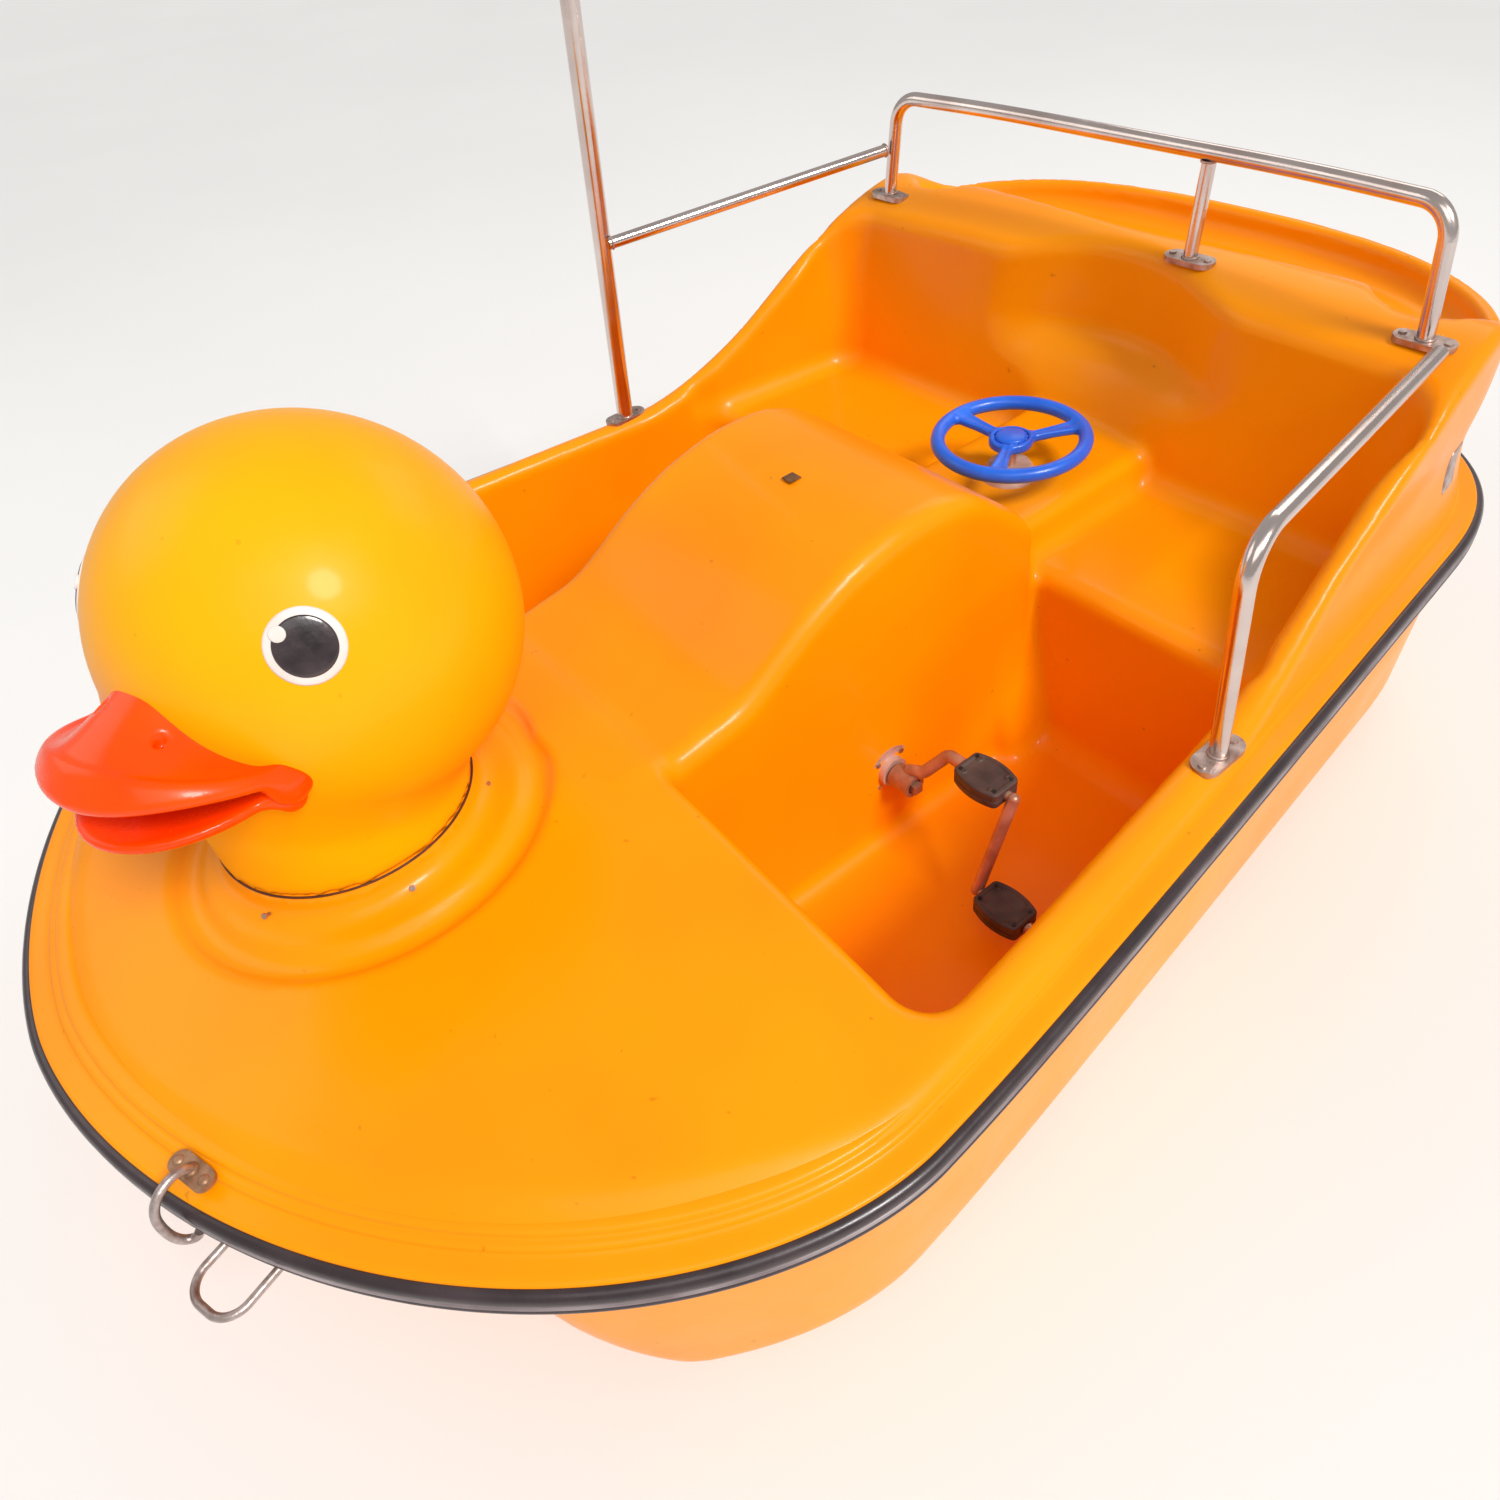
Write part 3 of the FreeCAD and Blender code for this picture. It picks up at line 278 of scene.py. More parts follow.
# ---- hull ----
def hull_field(x, s, z):
    """Two pontoons, the tunnel between them and the bow's lip."""
    o = outline_distance(x, s)
    side = o + HULL_INSET + HULL_FLARE * (JOINT - z)
    hull = meet(side, -z, BILGE_R)
    hull = meet(hull, z - JOINT - 0.002, 0.002)
    ahead = np.maximum(NOSE_START + NOSE_LENGTH - s, 0.0) / NOSE_LENGTH
    nose = np.hypot(ahead, (BOW_LIP_Z - z) / (BOW_LIP_Z + 0.05)) - 1.0
    nose_air = meet(z - BOW_LIP_Z + 0.04 * o, -nose * 0.28, 0.03)
    hull = meet(hull, -nose_air, 0.03)
    slope = np.clip((s - NOSE_START) / NOSE_LENGTH, 0.0, 1.0)
    tunnel = meet(np.abs(x) - TUNNEL_HALF, z - BOW_LIP_Z + (BOW_LIP_Z - TUNNEL_Z) * slope, 0.03)
    wheel_box = meet(np.abs(x) - TUNNEL_HALF, np.abs(s - AXLE_S) - WHEEL_BOX_REACH, 0.01)
    wheel_box = meet(wheel_box, z - WHEEL_BOX_Z, 0.01)
    hull = meet(hull, -join(tunnel, wheel_box, 0.01), 0.02)
    well = open_air(x, s, z, o)
    inside = meet(well - 0.032, -(np.abs(x) - HUMP_HALF + 0.012), 0.01)
    return meet(hull, -inside, 0.002)


# ---- meshing a distance field ----
CORNERS = [(i, j, k) for i in (0, 1) for j in (0, 1) for k in (0, 1)]


def surface_nets(field, low, step):
    """Points and quads of the zero level of a sampled field."""
    inside = field < 0.0
    size = np.array(field.shape)
    count = np.zeros(size - 1, np.int8)
    for i, j, k in CORNERS:
        count += inside[i:size[0] - 1 + i, j:size[1] - 1 + j, k:size[2] - 1 + k]
    cells = np.argwhere((count > 0) & (count < 8))
    number = np.full(size - 1, -1, np.int32)
    number[tuple(cells.T)] = np.arange(len(cells))
    values = [field[tuple((cells + corner).T)] for corner in CORNERS]
    total = np.zeros((len(cells), 3))
    hits = np.zeros(len(cells))
    for a, first in enumerate(CORNERS):
        for b, second in enumerate(CORNERS[a + 1:], a + 1):
            way = np.subtract(second, first)
            if np.abs(way).sum() != 1:
                continue
            crossed = (values[a] < 0) != (values[b] < 0)
            part = values[a][crossed] / (values[a][crossed] - values[b][crossed])
            total[crossed] += np.array(first) + part[:, None] * way
            hits[crossed] += 1
    points = np.array(low) + step * (cells + total / hits[:, None])
    quads = []
    for axis in range(3):
        u, v = np.eye(3, dtype=int)[(axis + 1) % 3], np.eye(3, dtype=int)[(axis + 2) % 3]
        lower = np.delete(inside, -1, axis)
        upper = np.delete(inside, 0, axis)
        edges = np.argwhere(lower != upper)
        keep = np.ones(len(edges), bool)
        for side in ((axis + 1) % 3, (axis + 2) % 3):
            keep &= (edges[:, side] > 0) & (edges[:, side] < size[side] - 1)
        edges = edges[keep]
        loop = [number[tuple(cell.T)] for cell in (edges - u - v, edges - v, edges, edges - u)]
        quad = np.stack(loop, axis=1)
        back = upper[tuple(edges.T)]
        quad[back] = quad[back][:, ::-1]
        quads.append(quad)
    return points, np.concatenate(quads)


def settle(points, field, reach, rounds=3):
    """Moves points along the field's slope onto its zero level."""
    tiny = 1e-4
    for _ in range(rounds):
        value = field(*points.T)
        slope = np.stack([(field(*(points + way * tiny).T) - value) / tiny for way in np.eye(3)], 1)
        size = np.maximum((slope ** 2).sum(axis=1), 0.3)
        points = points - slope * np.clip(value / size, -reach, reach)[:, None]
    return points


def mesh_field(name, field, low, high, step, shift=(0.0, -HALF_LENGTH, 0.0)):
    """A closed mesh of a distance field, shaded smooth."""
    axes = [np.arange(a, b + step, step) for a, b in zip(low, high)]
    sampled = field(axes[0][:, None, None], axes[1][None, :, None], axes[2][None, None, :])
    points, quads = surface_nets(sampled, low, step)
    points = settle(points, field, step * 0.5)
    return mesh_object(name, points + np.array(shift), quads)


def mesh_object(name, points, faces):
    mesh = bpy.data.meshes.new(name)
    mesh.from_pydata(np.asarray(points).tolist(), [], np.asarray(faces).tolist())
    mesh.shade_smooth()
    piece = bpy.data.objects.new(name, mesh)
    bpy.context.scene.collection.objects.link(piece)
    return piece


def finish_piece(piece, material, body, slot, *replaced):
    piece.data.materials.clear()
    piece.data.materials.append(material)
    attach(piece, body)
    if replaced:
        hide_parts(*replaced)
    return piece


def thin_out(piece, hidden, ratio):
    """Fewer faces where nothing is seen, chosen by a test on the points."""
    group = piece.vertex_groups.new(name="unseen")
    count = len(piece.data.vertices)
    points = np.empty(count * 3)
    piece.data.vertices.foreach_get("co", points)
    chosen = np.nonzero(hidden(*points.reshape(-1, 3).T))[0]
    group.add(chosen.tolist(), 1.0, "REPLACE")
    modifier = piece.modifiers.new("thin", "DECIMATE")
    modifier.vertex_group = "unseen"
    modifier.vertex_group_factor = 10.0
    modifier.ratio = 1.0 - (1.0 - ratio) * len(chosen) / count
    apply_modifiers(piece)


def final_mesh(piece):
    graph = bpy.context.evaluated_depsgraph_get()
    return bpy.data.meshes.new_from_object(piece.evaluated_get(graph))


def apply_modifiers(piece):
    made = final_mesh(piece)
    piece.modifiers.clear()
    piece.data = made


# ---- sweeps along the outline ----
def outline_loop(count):
    """The whole outline as a closed loop of points and outward normals."""
    x, s, nx, ns = port_outline(count)
    xs = np.concatenate([x, -x[-2:0:-1]])
    ss = np.concatenate([s, s[-2:0:-1]])
    nxs = np.concatenate([nx, -nx[-2:0:-1]])
    nss = np.concatenate([ns, ns[-2:0:-1]])
    return xs, ss, nxs, nss


def sweep_outline(name, profile, count=360):
    """A closed profile of (inset, height above the joint) carried round the boat."""
    xs, ss, nxs, nss = outline_loop(count)
    rings = [np.stack([xs - nxs * inset, ss - nss * inset - HALF_LENGTH,
                       np.full(len(xs), JOINT + height)], axis=1) for inset, height in profile]
    points = np.stack(rings, axis=1).reshape(-1, 3)
    rows, columns = len(xs), len(profile)
    i, j = np.meshgrid(np.arange(rows), np.arange(columns), indexing="ij")
    ahead, beside = (i + 1) % rows, (j + 1) % columns
    quads = np.stack([i * columns + j, i * columns + beside,
                      ahead * columns + beside, ahead * columns + j], axis=-1).reshape(-1, 4)
    return mesh_object(name, points, quads)


def soften(profile, rounds=2):
    """Cuts the corners of a closed profile, so that its edges are rounded."""
    line = np.array(profile, float)
    for _ in range(rounds):
        after = np.roll(line, -1, axis=0)
        line = np.stack([0.75 * line + 0.25 * after, 0.25 * line + 0.75 * after], 1).reshape(-1, 2)
    return line


# ---- materials ----
def node(tree, kind, **inputs):
    made = tree.nodes.new(kind)
    for key, value in inputs.items():
        name = key.replace("_", " ")
        if name in made.inputs:
            made.inputs[name].default_value = value
        else:
            setattr(made, key, value)
    return made


def surface(name, light, dark, rough, metallic=0.0, coat=0.0, patch_scale=4.0, grain_scale=60.0,
            bump=0.0005, stretch=(1.0, 1.0, 1.0), specks=0.0, specular=0.5):
    """A finish with slow colour drift, uneven roughness and a fine relief."""
    material = bpy.data.materials.new(name)
    material.use_nodes = True
    tree = material.node_tree
    shader = tree.nodes["Principled BSDF"]
    shader.inputs["Metallic"].default_value = metallic
    shader.inputs["Coat Weight"].default_value = coat
    shader.inputs["Coat Roughness"].default_value = 0.12
    shader.inputs["Specular IOR Level"].default_value = specular
    place = node(tree, "ShaderNodeTexCoord")
    scaled = node(tree, "ShaderNodeMapping", Scale=stretch)
    tree.links.new(place.outputs["Object"], scaled.inputs["Vector"])

    def noise(scale, detail, roughness=0.5):
        made = node(tree, "ShaderNodeTexNoise", Scale=scale, Detail=detail, Roughness=roughness)
        tree.links.new(scaled.outputs["Vector"], made.inputs["Vector"])
        return made.outputs["Fac"]

    drift = node(tree, "ShaderNodeValToRGB")
    tree.links.new(noise(patch_scale, 3.0), drift.inputs["Fac"])
    drift.color_ramp.elements[0].position = 0.32
    drift.color_ramp.elements[0].color = (*dark, 1.0)
    drift.color_ramp.elements[1].position = 0.68
    drift.color_ramp.elements[1].color = (*light, 1.0)
    colour = drift.outputs["Color"]
    if specks:
        spots = node(tree, "ShaderNodeValToRGB")
        tree.links.new(noise(grain_scale * 1.6, 2.0, 0.7), spots.inputs["Fac"])
        spots.color_ramp.elements[0].position = 0.245
        spots.color_ramp.elements[0].color = (specks, specks, specks, 1.0)
        spots.color_ramp.elements[1].position = 0.27
        spots.color_ramp.elements[1].color = (0.0, 0.0, 0.0, 1.0)
        mixed = node(tree, "ShaderNodeMix", data_type="RGBA", blend_type="MIX")
        tree.links.new(spots.outputs["Color"], mixed.inputs[0])
        tree.links.new(colour, mixed.inputs[6])
        mixed.inputs[7].default_value = (*[value * 0.35 for value in dark], 1.0)
        colour = mixed.outputs[2]
    tree.links.new(colour, shader.inputs["Base Color"])
    wear = node(tree, "ShaderNodeMapRange")
    tree.links.new(noise(patch_scale * 2.3, 5.0, 0.6), wear.inputs["Value"])
    wear.inputs["From Min"].default_value = 0.3
    wear.inputs["From Max"].default_value = 0.7
    wear.inputs["To Min"].default_value = rough[0]
    wear.inputs["To Max"].default_value = rough[1]
    tree.links.new(wear.outputs["Result"], shader.inputs["Roughness"])
    relief = node(tree, "ShaderNodeBump", Strength=0.35, Distance=bump)
    tree.links.new(noise(grain_scale, 4.0), relief.inputs["Height"])
    tree.links.new(relief.outputs["Normal"], shader.inputs["Normal"])
    return material


MATERIALS = {
    "gelcoat": surface("gelcoat", (1.0, 0.345, 0.0), (0.96, 0.285, 0.0), (0.26, 0.4), coat=0.12,
                       patch_scale=2.2, grain_scale=26.0, bump=0.0012, specks=0.35,
                       specular=0.16),
    "head_gelcoat": surface("head_gelcoat", (1.0, 0.45, 0.0), (1.0, 0.39, 0.0), (0.34, 0.48),
                            coat=0.08, patch_scale=3.0, grain_scale=30.0, bump=0.0009,
                            specks=0.25, specular=0.16),
    "beak_gelcoat": surface("beak_gelcoat", (1.0, 0.085, 0.0), (0.96, 0.055, 0.0), (0.2, 0.34),
                            coat=0.15, specular=0.2, patch_scale=7.0, grain_scale=70.0,
                            bump=0.0005),
    "eye_white": surface("eye_white", (0.84, 0.76, 0.72), (0.74, 0.65, 0.6), (0.25, 0.4),
                         patch_scale=30.0, grain_scale=200.0, bump=0.0002),
    "eye_black": surface("eye_black", (0.055, 0.035, 0.04), (0.012, 0.007, 0.009), (0.16, 0.36),
                         coat=0.5, patch_scale=28.0, grain_scale=220.0, bump=0.0006),
    "fender_rubber": surface("fender_rubber", (0.05, 0.032, 0.036), (0.028, 0.018, 0.021),
                             (0.22, 0.42), coat=0.15, patch_scale=12.0, grain_scale=180.0,
                             bump=0.0004),
    "fender_insert": surface("fender_insert", (0.36, 0.30, 0.31), (0.16, 0.12, 0.13), (0.3, 0.5),
                             patch_scale=9.0, grain_scale=150.0, bump=0.0004),
    "stainless_tube": surface("stainless_tube", (0.80, 0.70, 0.66), (0.66, 0.54, 0.50),
                              (0.12, 0.26), metallic=1.0, patch_scale=9.0, grain_scale=240.0,
                              bump=0.0003, stretch=(1.0, 0.4, 1.0)),
    "stainless_plate": surface("stainless_plate", (0.62, 0.52, 0.48), (0.34, 0.22, 0.18),
                               (0.26, 0.55), metallic=0.9, patch_scale=45.0, grain_scale=300.0,
                               bump=0.0006),
    "stainless_rod": surface("stainless_rod", (0.58, 0.50, 0.48), (0.34, 0.25, 0.22),
                             (0.3, 0.55), metallic=0.85, patch_scale=60.0, grain_scale=260.0,
                             bump=0.0016),
    "flange_metal": surface("flange_metal", (0.72, 0.50, 0.42), (0.50, 0.29, 0.22), (0.35, 0.6),
                            metallic=0.35, patch_scale=30.0, grain_scale=200.0, bump=0.0006),
    "crank_steel": surface("crank_steel", (0.60, 0.36, 0.26), (0.36, 0.17, 0.10), (0.28, 0.5),
                           metallic=0.55, patch_scale=24.0, grain_scale=200.0, bump=0.0005),
    "pedal_plastic": surface("pedal_plastic", (0.085, 0.055, 0.048), (0.035, 0.022, 0.02),
                             (0.42, 0.62), patch_scale=26.0, grain_scale=420.0, bump=0.0007),
    "pedal_screw": surface("pedal_screw", (0.03, 0.025, 0.025), (0.01, 0.01, 0.01), (0.3, 0.5),
                           metallic=0.5, patch_scale=60.0, grain_scale=300.0),
    "wheel_plastic": surface("wheel_plastic", (0.012, 0.16, 0.86), (0.006, 0.09, 0.62),
                             (0.28, 0.45), coat=0.2, patch_scale=11.0, grain_scale=260.0,
                             bump=0.0005, specks=0.3),
    "paddle_plastic": surface("paddle_plastic", (0.2, 0.2, 0.21), (0.12, 0.12, 0.13), (0.45, 0.6),
                              patch_scale=8.0, grain_scale=160.0),
    "foam": surface("foam", (0.85, 0.8, 0.66), (0.72, 0.66, 0.5), (0.7, 0.9), patch_scale=12.0,
                    grain_scale=300.0, bump=0.001),
    "patch": surface("patch", (0.22, 0.09, 0.025), (0.12, 0.045, 0.012), (0.5, 0.7),
                     patch_scale=90.0, grain_scale=500.0),
}
DARK_LINE = surface("seam_shadow", (0.10, 0.022, 0.004), (0.05, 0.012, 0.002), (0.5, 0.7),
                    patch_scale=40.0, grain_scale=200.0)
WEATHERED = surface("weathered_plate", (0.46, 0.27, 0.16), (0.24, 0.12, 0.06), (0.32, 0.6),
                    metallic=0.6, patch_scale=50.0, grain_scale=260.0, bump=0.0007)


def finish_cad_nodes():
    """Each kept CAD node gets its slot's finish."""
    for part in frame["record"]["subparts"]:
        piece = NODES[part["node"]]
        for slot in piece.material_slots:
            slot.material = MATERIALS[part["material_slot"]]


finish_cad_nodes()


# ---- mouldings, rim and fender ----
def build_mouldings():
    deck = mesh_field("deck", deck_field, (*GRID_LOW, 0.03), (*GRID_HIGH, 0.83), DECK_STEP)

    def hidden(x, y, z):
        s = y + HALF_LENGTH
        air = open_air(x, s, z, outline_distance(x, s))
        below = (z < JOINT - 0.001) & (air > 0.008)
        return below | (air > 0.018) & (z < JOINT + 0.001)

    thin_out(deck, hidden, 0.15)
    finish_piece(deck, MATERIALS["gelcoat"], "boat", "gelcoat", "deck_moulding")
    hull = mesh_field("hull", hull_field, (*GRID_LOW, -0.03), (*GRID_HIGH, 0.45), HULL_STEP)
    finish_piece(hull, MATERIALS["gelcoat"], "boat", "gelcoat", "hull_moulding")
    rim = soften([(-0.001, 0.002), (-0.001, 0.020), (0.004, 0.0235), (0.030, 0.0255),
                  (0.0315, 0.031), (0.036, 0.0335), (0.043, 0.0345), (0.0445, 0.040),
                  (0.050, 0.0425), (0.066, 0.0435), (0.072, 0.034), (0.06, 0.002)])
    lip = sweep_outline("deck_rim", rim)
    finish_piece(lip, MATERIALS["gelcoat"], "boat", "gelcoat")


def build_fender():
    body = soften([(0.004, 0.0185), (-0.006, 0.0192), (-0.0125, 0.014), (-0.0142, 0.006),
                   (-0.0118, 0.0012), (-0.0098, -0.003), (-0.0116, -0.0072), (-0.0142, -0.011),
                   (-0.0135, -0.0155), (-0.007, -0.019), (0.004, -0.0188)])
    fender = sweep_outline("fender_strip", body, 420)
    finish_piece(fender, MATERIALS["fender_rubber"], "boat", "fender_rubber", "fender")
    bead = soften([(-0.008, 0.0005), (-0.0126, 0.0002), (-0.0146, -0.003), (-0.0126, -0.0062),
                   (-0.008, -0.0065)])
    insert = sweep_outline("fender_bead", bead, 420)
    finish_piece(insert, MATERIALS["fender_insert"], "boat", "fender_insert", "fender_insert")


build_mouldings()
build_fender()

# ---- duck's head ----
HEAD_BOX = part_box("head_shell")
HEAD_R = (HEAD_BOX[1].x - HEAD_BOX[0].x) / 2.0
HEAD = Vector((0.0, (HEAD_BOX[0].y + HEAD_BOX[1].y) / 2.0, HEAD_BOX[1].z - HEAD_R))
HEAD_TURN = math.radians(26.0)
BEAK_TILT = math.radians(26.6)
MOUTH = -0.132
BEAK_SHIFT = 0.007          # the beak sits a little to starboard of the head's middle
UPPER_AHEAD, UPPER_HALF, UPPER_REACH = 0.176, 0.151, 0.152
RIDGE_HEIGHT, RIDGE_HALF, RIDGE_LENGTH = 0.074, 0.072, 0.098
LIP, LIP_ROLL, LIP_DROOP = 0.021, 0.005, 0.012
NOSTRIL_SIDE, NOSTRIL_AHEAD = 0.041, 0.252
LOWER_AHEAD, LOWER_HALF, LOWER_REACH = 0.165, 0.116, 0.147
LOWER_OPEN = math.radians(19.0)
EYE_TURN, EYE_RISE = math.radians(50.0), math.radians(27.0)
EYE_R, PUPIL_R, GLINT_R = 0.041, 0.032, 0.0085
EYE_RIM_RISE, EYE_DISC_RISE = 0.0016, 0.0012
GLINT_SHIFT = (-5.4, 4.6)


def head_field(x, y, z):
    ball = np.sqrt(x ** 2 + (y - HEAD.y) ** 2 + (z - HEAD.z) ** 2) - HEAD_R
    neck = np.hypot(x, y - NECK_S + HALF_LENGTH) - NECK_R
    head = join(ball, meet(neck, z - HEAD.z, 0.01), 0.035)
    return meet(head, NECK_Z + 0.001 - z, 0.002)


def head_axes(tilt):
    """Columns to port, ahead and up of the head, with the front raised by tilt."""
    ahead = Vector((math.sin(HEAD_TURN), -math.cos(HEAD_TURN), 0.0))
    side = Vector((math.cos(HEAD_TURN), math.sin(HEAD_TURN), 0.0))
    forward = ahead * math.cos(tilt) + Vector((0, 0, 1)) * math.sin(tilt)
    up = Vector((0, 0, 1)) * math.cos(tilt) - ahead * math.sin(tilt)
    return side, forward, up


def beak_top(side, ahead, up):
    """The upper beak: a broad ridge that falls from the forehead into a wide thick lip."""
    across = side + BEAK_SHIFT
    rho = np.hypot(across / UPPER_HALF, (ahead - UPPER_AHEAD) / UPPER_REACH)
    out = np.sqrt(side ** 2 + ahead ** 2 + up ** 2) - HEAD_R
    ridge = 1.06 / (1.0 + (np.abs(side + 0.013) / RIDGE_HALF) ** 3.0) - 0.06
    fall = np.clip(1.0 - out / RIDGE_LENGTH, 0.0, 1.1)
    lip = LIP + LIP_ROLL * np.exp(-((rho - 0.92) / 0.06) ** 2)
    top = (up - MOUTH - lip - RIDGE_HEIGHT * ridge * fall ** 1.05) * 0.7
    droop = LIP_DROOP * np.cos(side / 0.155 * 2.8)
    beak = meet(top, (rho - 1.0) * 0.148, 0.017)
    beak = meet(beak, (MOUTH - droop + 0.003 - up) * 0.95, 0.011)
    for hand in (1, -1):
        bulb = np.sqrt((across - hand * 0.131) ** 2 + (ahead - 0.168) ** 2
                       + (up - MOUTH - 0.005) ** 2) - 0.023
        beak = join(beak, bulb, 0.022)
        hole = np.hypot((side - hand * NOSTRIL_SIDE) / 0.0042,
                        (ahead - NOSTRIL_AHEAD) / 0.0066) - 1.0
        hole = meet(hole * 0.0045, np.abs(up - MOUTH - 0.068) - 0.02, 0.002)
        beak = meet(beak, -hole, 0.0012)
    return beak


def beak_bottom(side, ahead, up):
    """The lower beak: a shallow scoop with a rolled rim, hinged open at its corners."""
    across = side + BEAK_SHIFT
    a = (ahead - LOWER_AHEAD) * math.cos(LOWER_OPEN) - (up - MOUTH) * math.sin(LOWER_OPEN)
    u = (ahead - LOWER_AHEAD) * math.sin(LOWER_OPEN) + (up - MOUTH) * math.cos(LOWER_OPEN)
    rho = np.sqrt((across / LOWER_HALF) ** 2 + (a / LOWER_REACH) ** 2)
    bowl = (np.sqrt(rho ** 2 + (u / 0.034) ** 4) - 1.0) * 0.10
    scoop = meet(bowl, u + 0.003, 0.006)
    hollow = (np.sqrt((across / (LOWER_HALF - 0.016)) ** 2 + (a / (LOWER_REACH - 0.016)) ** 2
                      + (u / 0.017) ** 2) - 1.0) * 0.017
    scoop = meet(scoop, -hollow, 0.006)
    for hand in (1, -1):
        bulb = np.sqrt((across - hand * 0.124) ** 2 + (ahead - 0.160) ** 2
                       + (up - MOUTH + 0.014) ** 2) - 0.018
        scoop = join(scoop, bulb, 0.022)
    return scoop


def beak_piece(name, field, step, slot, *replaced):
    side, ahead, up = head_axes(BEAK_TILT)

    def outside_head(x, y, z):
        away = np.sqrt(x ** 2 + y ** 2 + z ** 2) - HEAD_R
        return meet(field(x, y, z), -away - 0.012, 0.003)

    low, high = (-0.2, 0.08, -0.27), (0.2, 0.36, 0.02)
    piece = mesh_field(name, outside_head, low, high, step, (0.0, 0.0, 0.0))
    turn = Matrix((side, ahead, up)).transposed().to_4x4()
    piece.data.transform(Matrix.Translation(HEAD) @ turn)
    piece.data.flip_normals()
    return finish_piece(piece, MATERIALS[slot], "boat", slot, *replaced)


def eye_part(name, radius, outer, dome, slot, node_name, shift=(0.0, 0.0)):
    """A round cap on each side of the head: a thin disc with a rolled edge."""
    points, faces = [], []
    rows = [(0.0, dome), (0.3, dome), (0.6, dome), (0.85, dome), (0.95, dome * 0.8),
            (1.0, dome * 0.35), (1.0, -0.002)]
    spokes = 72
    for hand in (1, -1):
        turn = HEAD_TURN + hand * (EYE_TURN + math.radians(shift[0]))
        rise = EYE_RISE + math.radians(shift[1])
        way = Vector((math.sin(turn) * math.cos(rise), -math.cos(turn) * math.cos(rise),
                      math.sin(rise)))
        right = way.cross(Vector((0, 0, 1))).normalized()
        over = right.cross(way)
        base = len(points)
        for share, lift in rows:
            for k in range(spokes):
                angle = math.tau * k / spokes
                flat = (right * math.cos(angle) + over * math.sin(angle)) * (radius * share)
                spot = (way * HEAD_R + flat).normalized() * (HEAD_R + outer + lift)
                points.append(HEAD + spot)
        for row in range(len(rows) - 1):
            for k in range(spokes):
                a = base + row * spokes + k
                b = base + row * spokes + (k + 1) % spokes
                faces.append((a, a + spokes, b + spokes, b))
    piece = mesh_object(name, [tuple(p) for p in points], faces)
    return finish_piece(piece, MATERIALS[slot], "boat", slot, node_name)


def ring_piece(name, centre, axis, radius, tube, material, slot, turns=96):
    """A thin ring, such as a seam or a weld bead."""
    axis = Vector(axis).normalized()
    right = axis.orthogonal().normalized()
    over = axis.cross(right)
    points, faces, sides = [], [], 10
    for i in range(turns):
        angle = math.tau * i / turns
        out = right * math.cos(angle) + over * math.sin(angle)
        for j in range(sides):
            roll = math.tau * j / sides
            points.append(Vector(centre) + out * (radius + tube * math.cos(roll))
                          + axis * tube * math.sin(roll))
            k = (i + 1) % turns
            faces.append((i * sides + j, k * sides + j, k * sides + (j + 1) % sides,
                          i * sides + (j + 1) % sides))
    piece = mesh_object(name, [tuple(p) for p in points], faces)
    return finish_piece(piece, material, "boat", slot)


def lathe(name, profile, base, turns=64):
    """A profile of (radius, height) turned about an upright axis through base."""
    axis = Vector((0.0, 0.0, 1.0))
    right = axis.orthogonal().normalized()
    over = axis.cross(right)
    points, faces = [], []
    for i in range(turns):
        angle = math.tau * i / turns
        out = right * math.cos(angle) + over * math.sin(angle)
        for radius, height in profile:
            points.append(tuple(Vector(base) + out * max(radius, 0.0001) + axis * height))
    rows = len(profile)
    for i in range(turns):
        k = (i + 1) % turns
        for j in range(rows - 1):
            faces.append((i * rows + j, i * rows + j + 1, k * rows + j + 1, k * rows + j))
    return mesh_object(name, points, faces)


def build_head():
    centre_y = NECK_S - HALF_LENGTH
    head = mesh_field("head", head_field, (-0.28, centre_y - 0.25, NECK_Z - 0.02),
                      (0.28, HEAD.y + 0.28, HEAD.z + 0.28), 0.012, (0.0, 0.0, 0.0))
    finish_piece(head, MATERIALS["head_gelcoat"], "boat", "head_gelcoat", "head_shell")
    beak_piece("beak_upper", beak_top, 0.0045, "beak_gelcoat", "upper_beak")
    beak_piece("beak_lower", beak_bottom, 0.0045, "beak_gelcoat", "lower_beak")
    eye_part("eye_rims", EYE_R, 0.0, EYE_RIM_RISE, "eye_white", "eye_whites")
    eye_part("eye_discs", PUPIL_R, EYE_RIM_RISE, EYE_DISC_RISE, "eye_black", "eye_pupils")
    eye_part("eye_glints", GLINT_R, EYE_RIM_RISE + EYE_DISC_RISE, EYE_DISC_RISE, "eye_white",
             "eye_highlights", GLINT_SHIFT)
    ring_piece("neck_seam", (0.0, centre_y, NECK_Z + 0.0005), (0, 0, 1), NECK_R + 0.0002, 0.0016,
               DARK_LINE, "head_gelcoat")


build_head()


# ---- steering wheel ----
RIM_CENTRE, RIM_R = 0.129, 0.0128
WHEEL_HUB_R, WHEEL_DROP = 0.039, 0.005


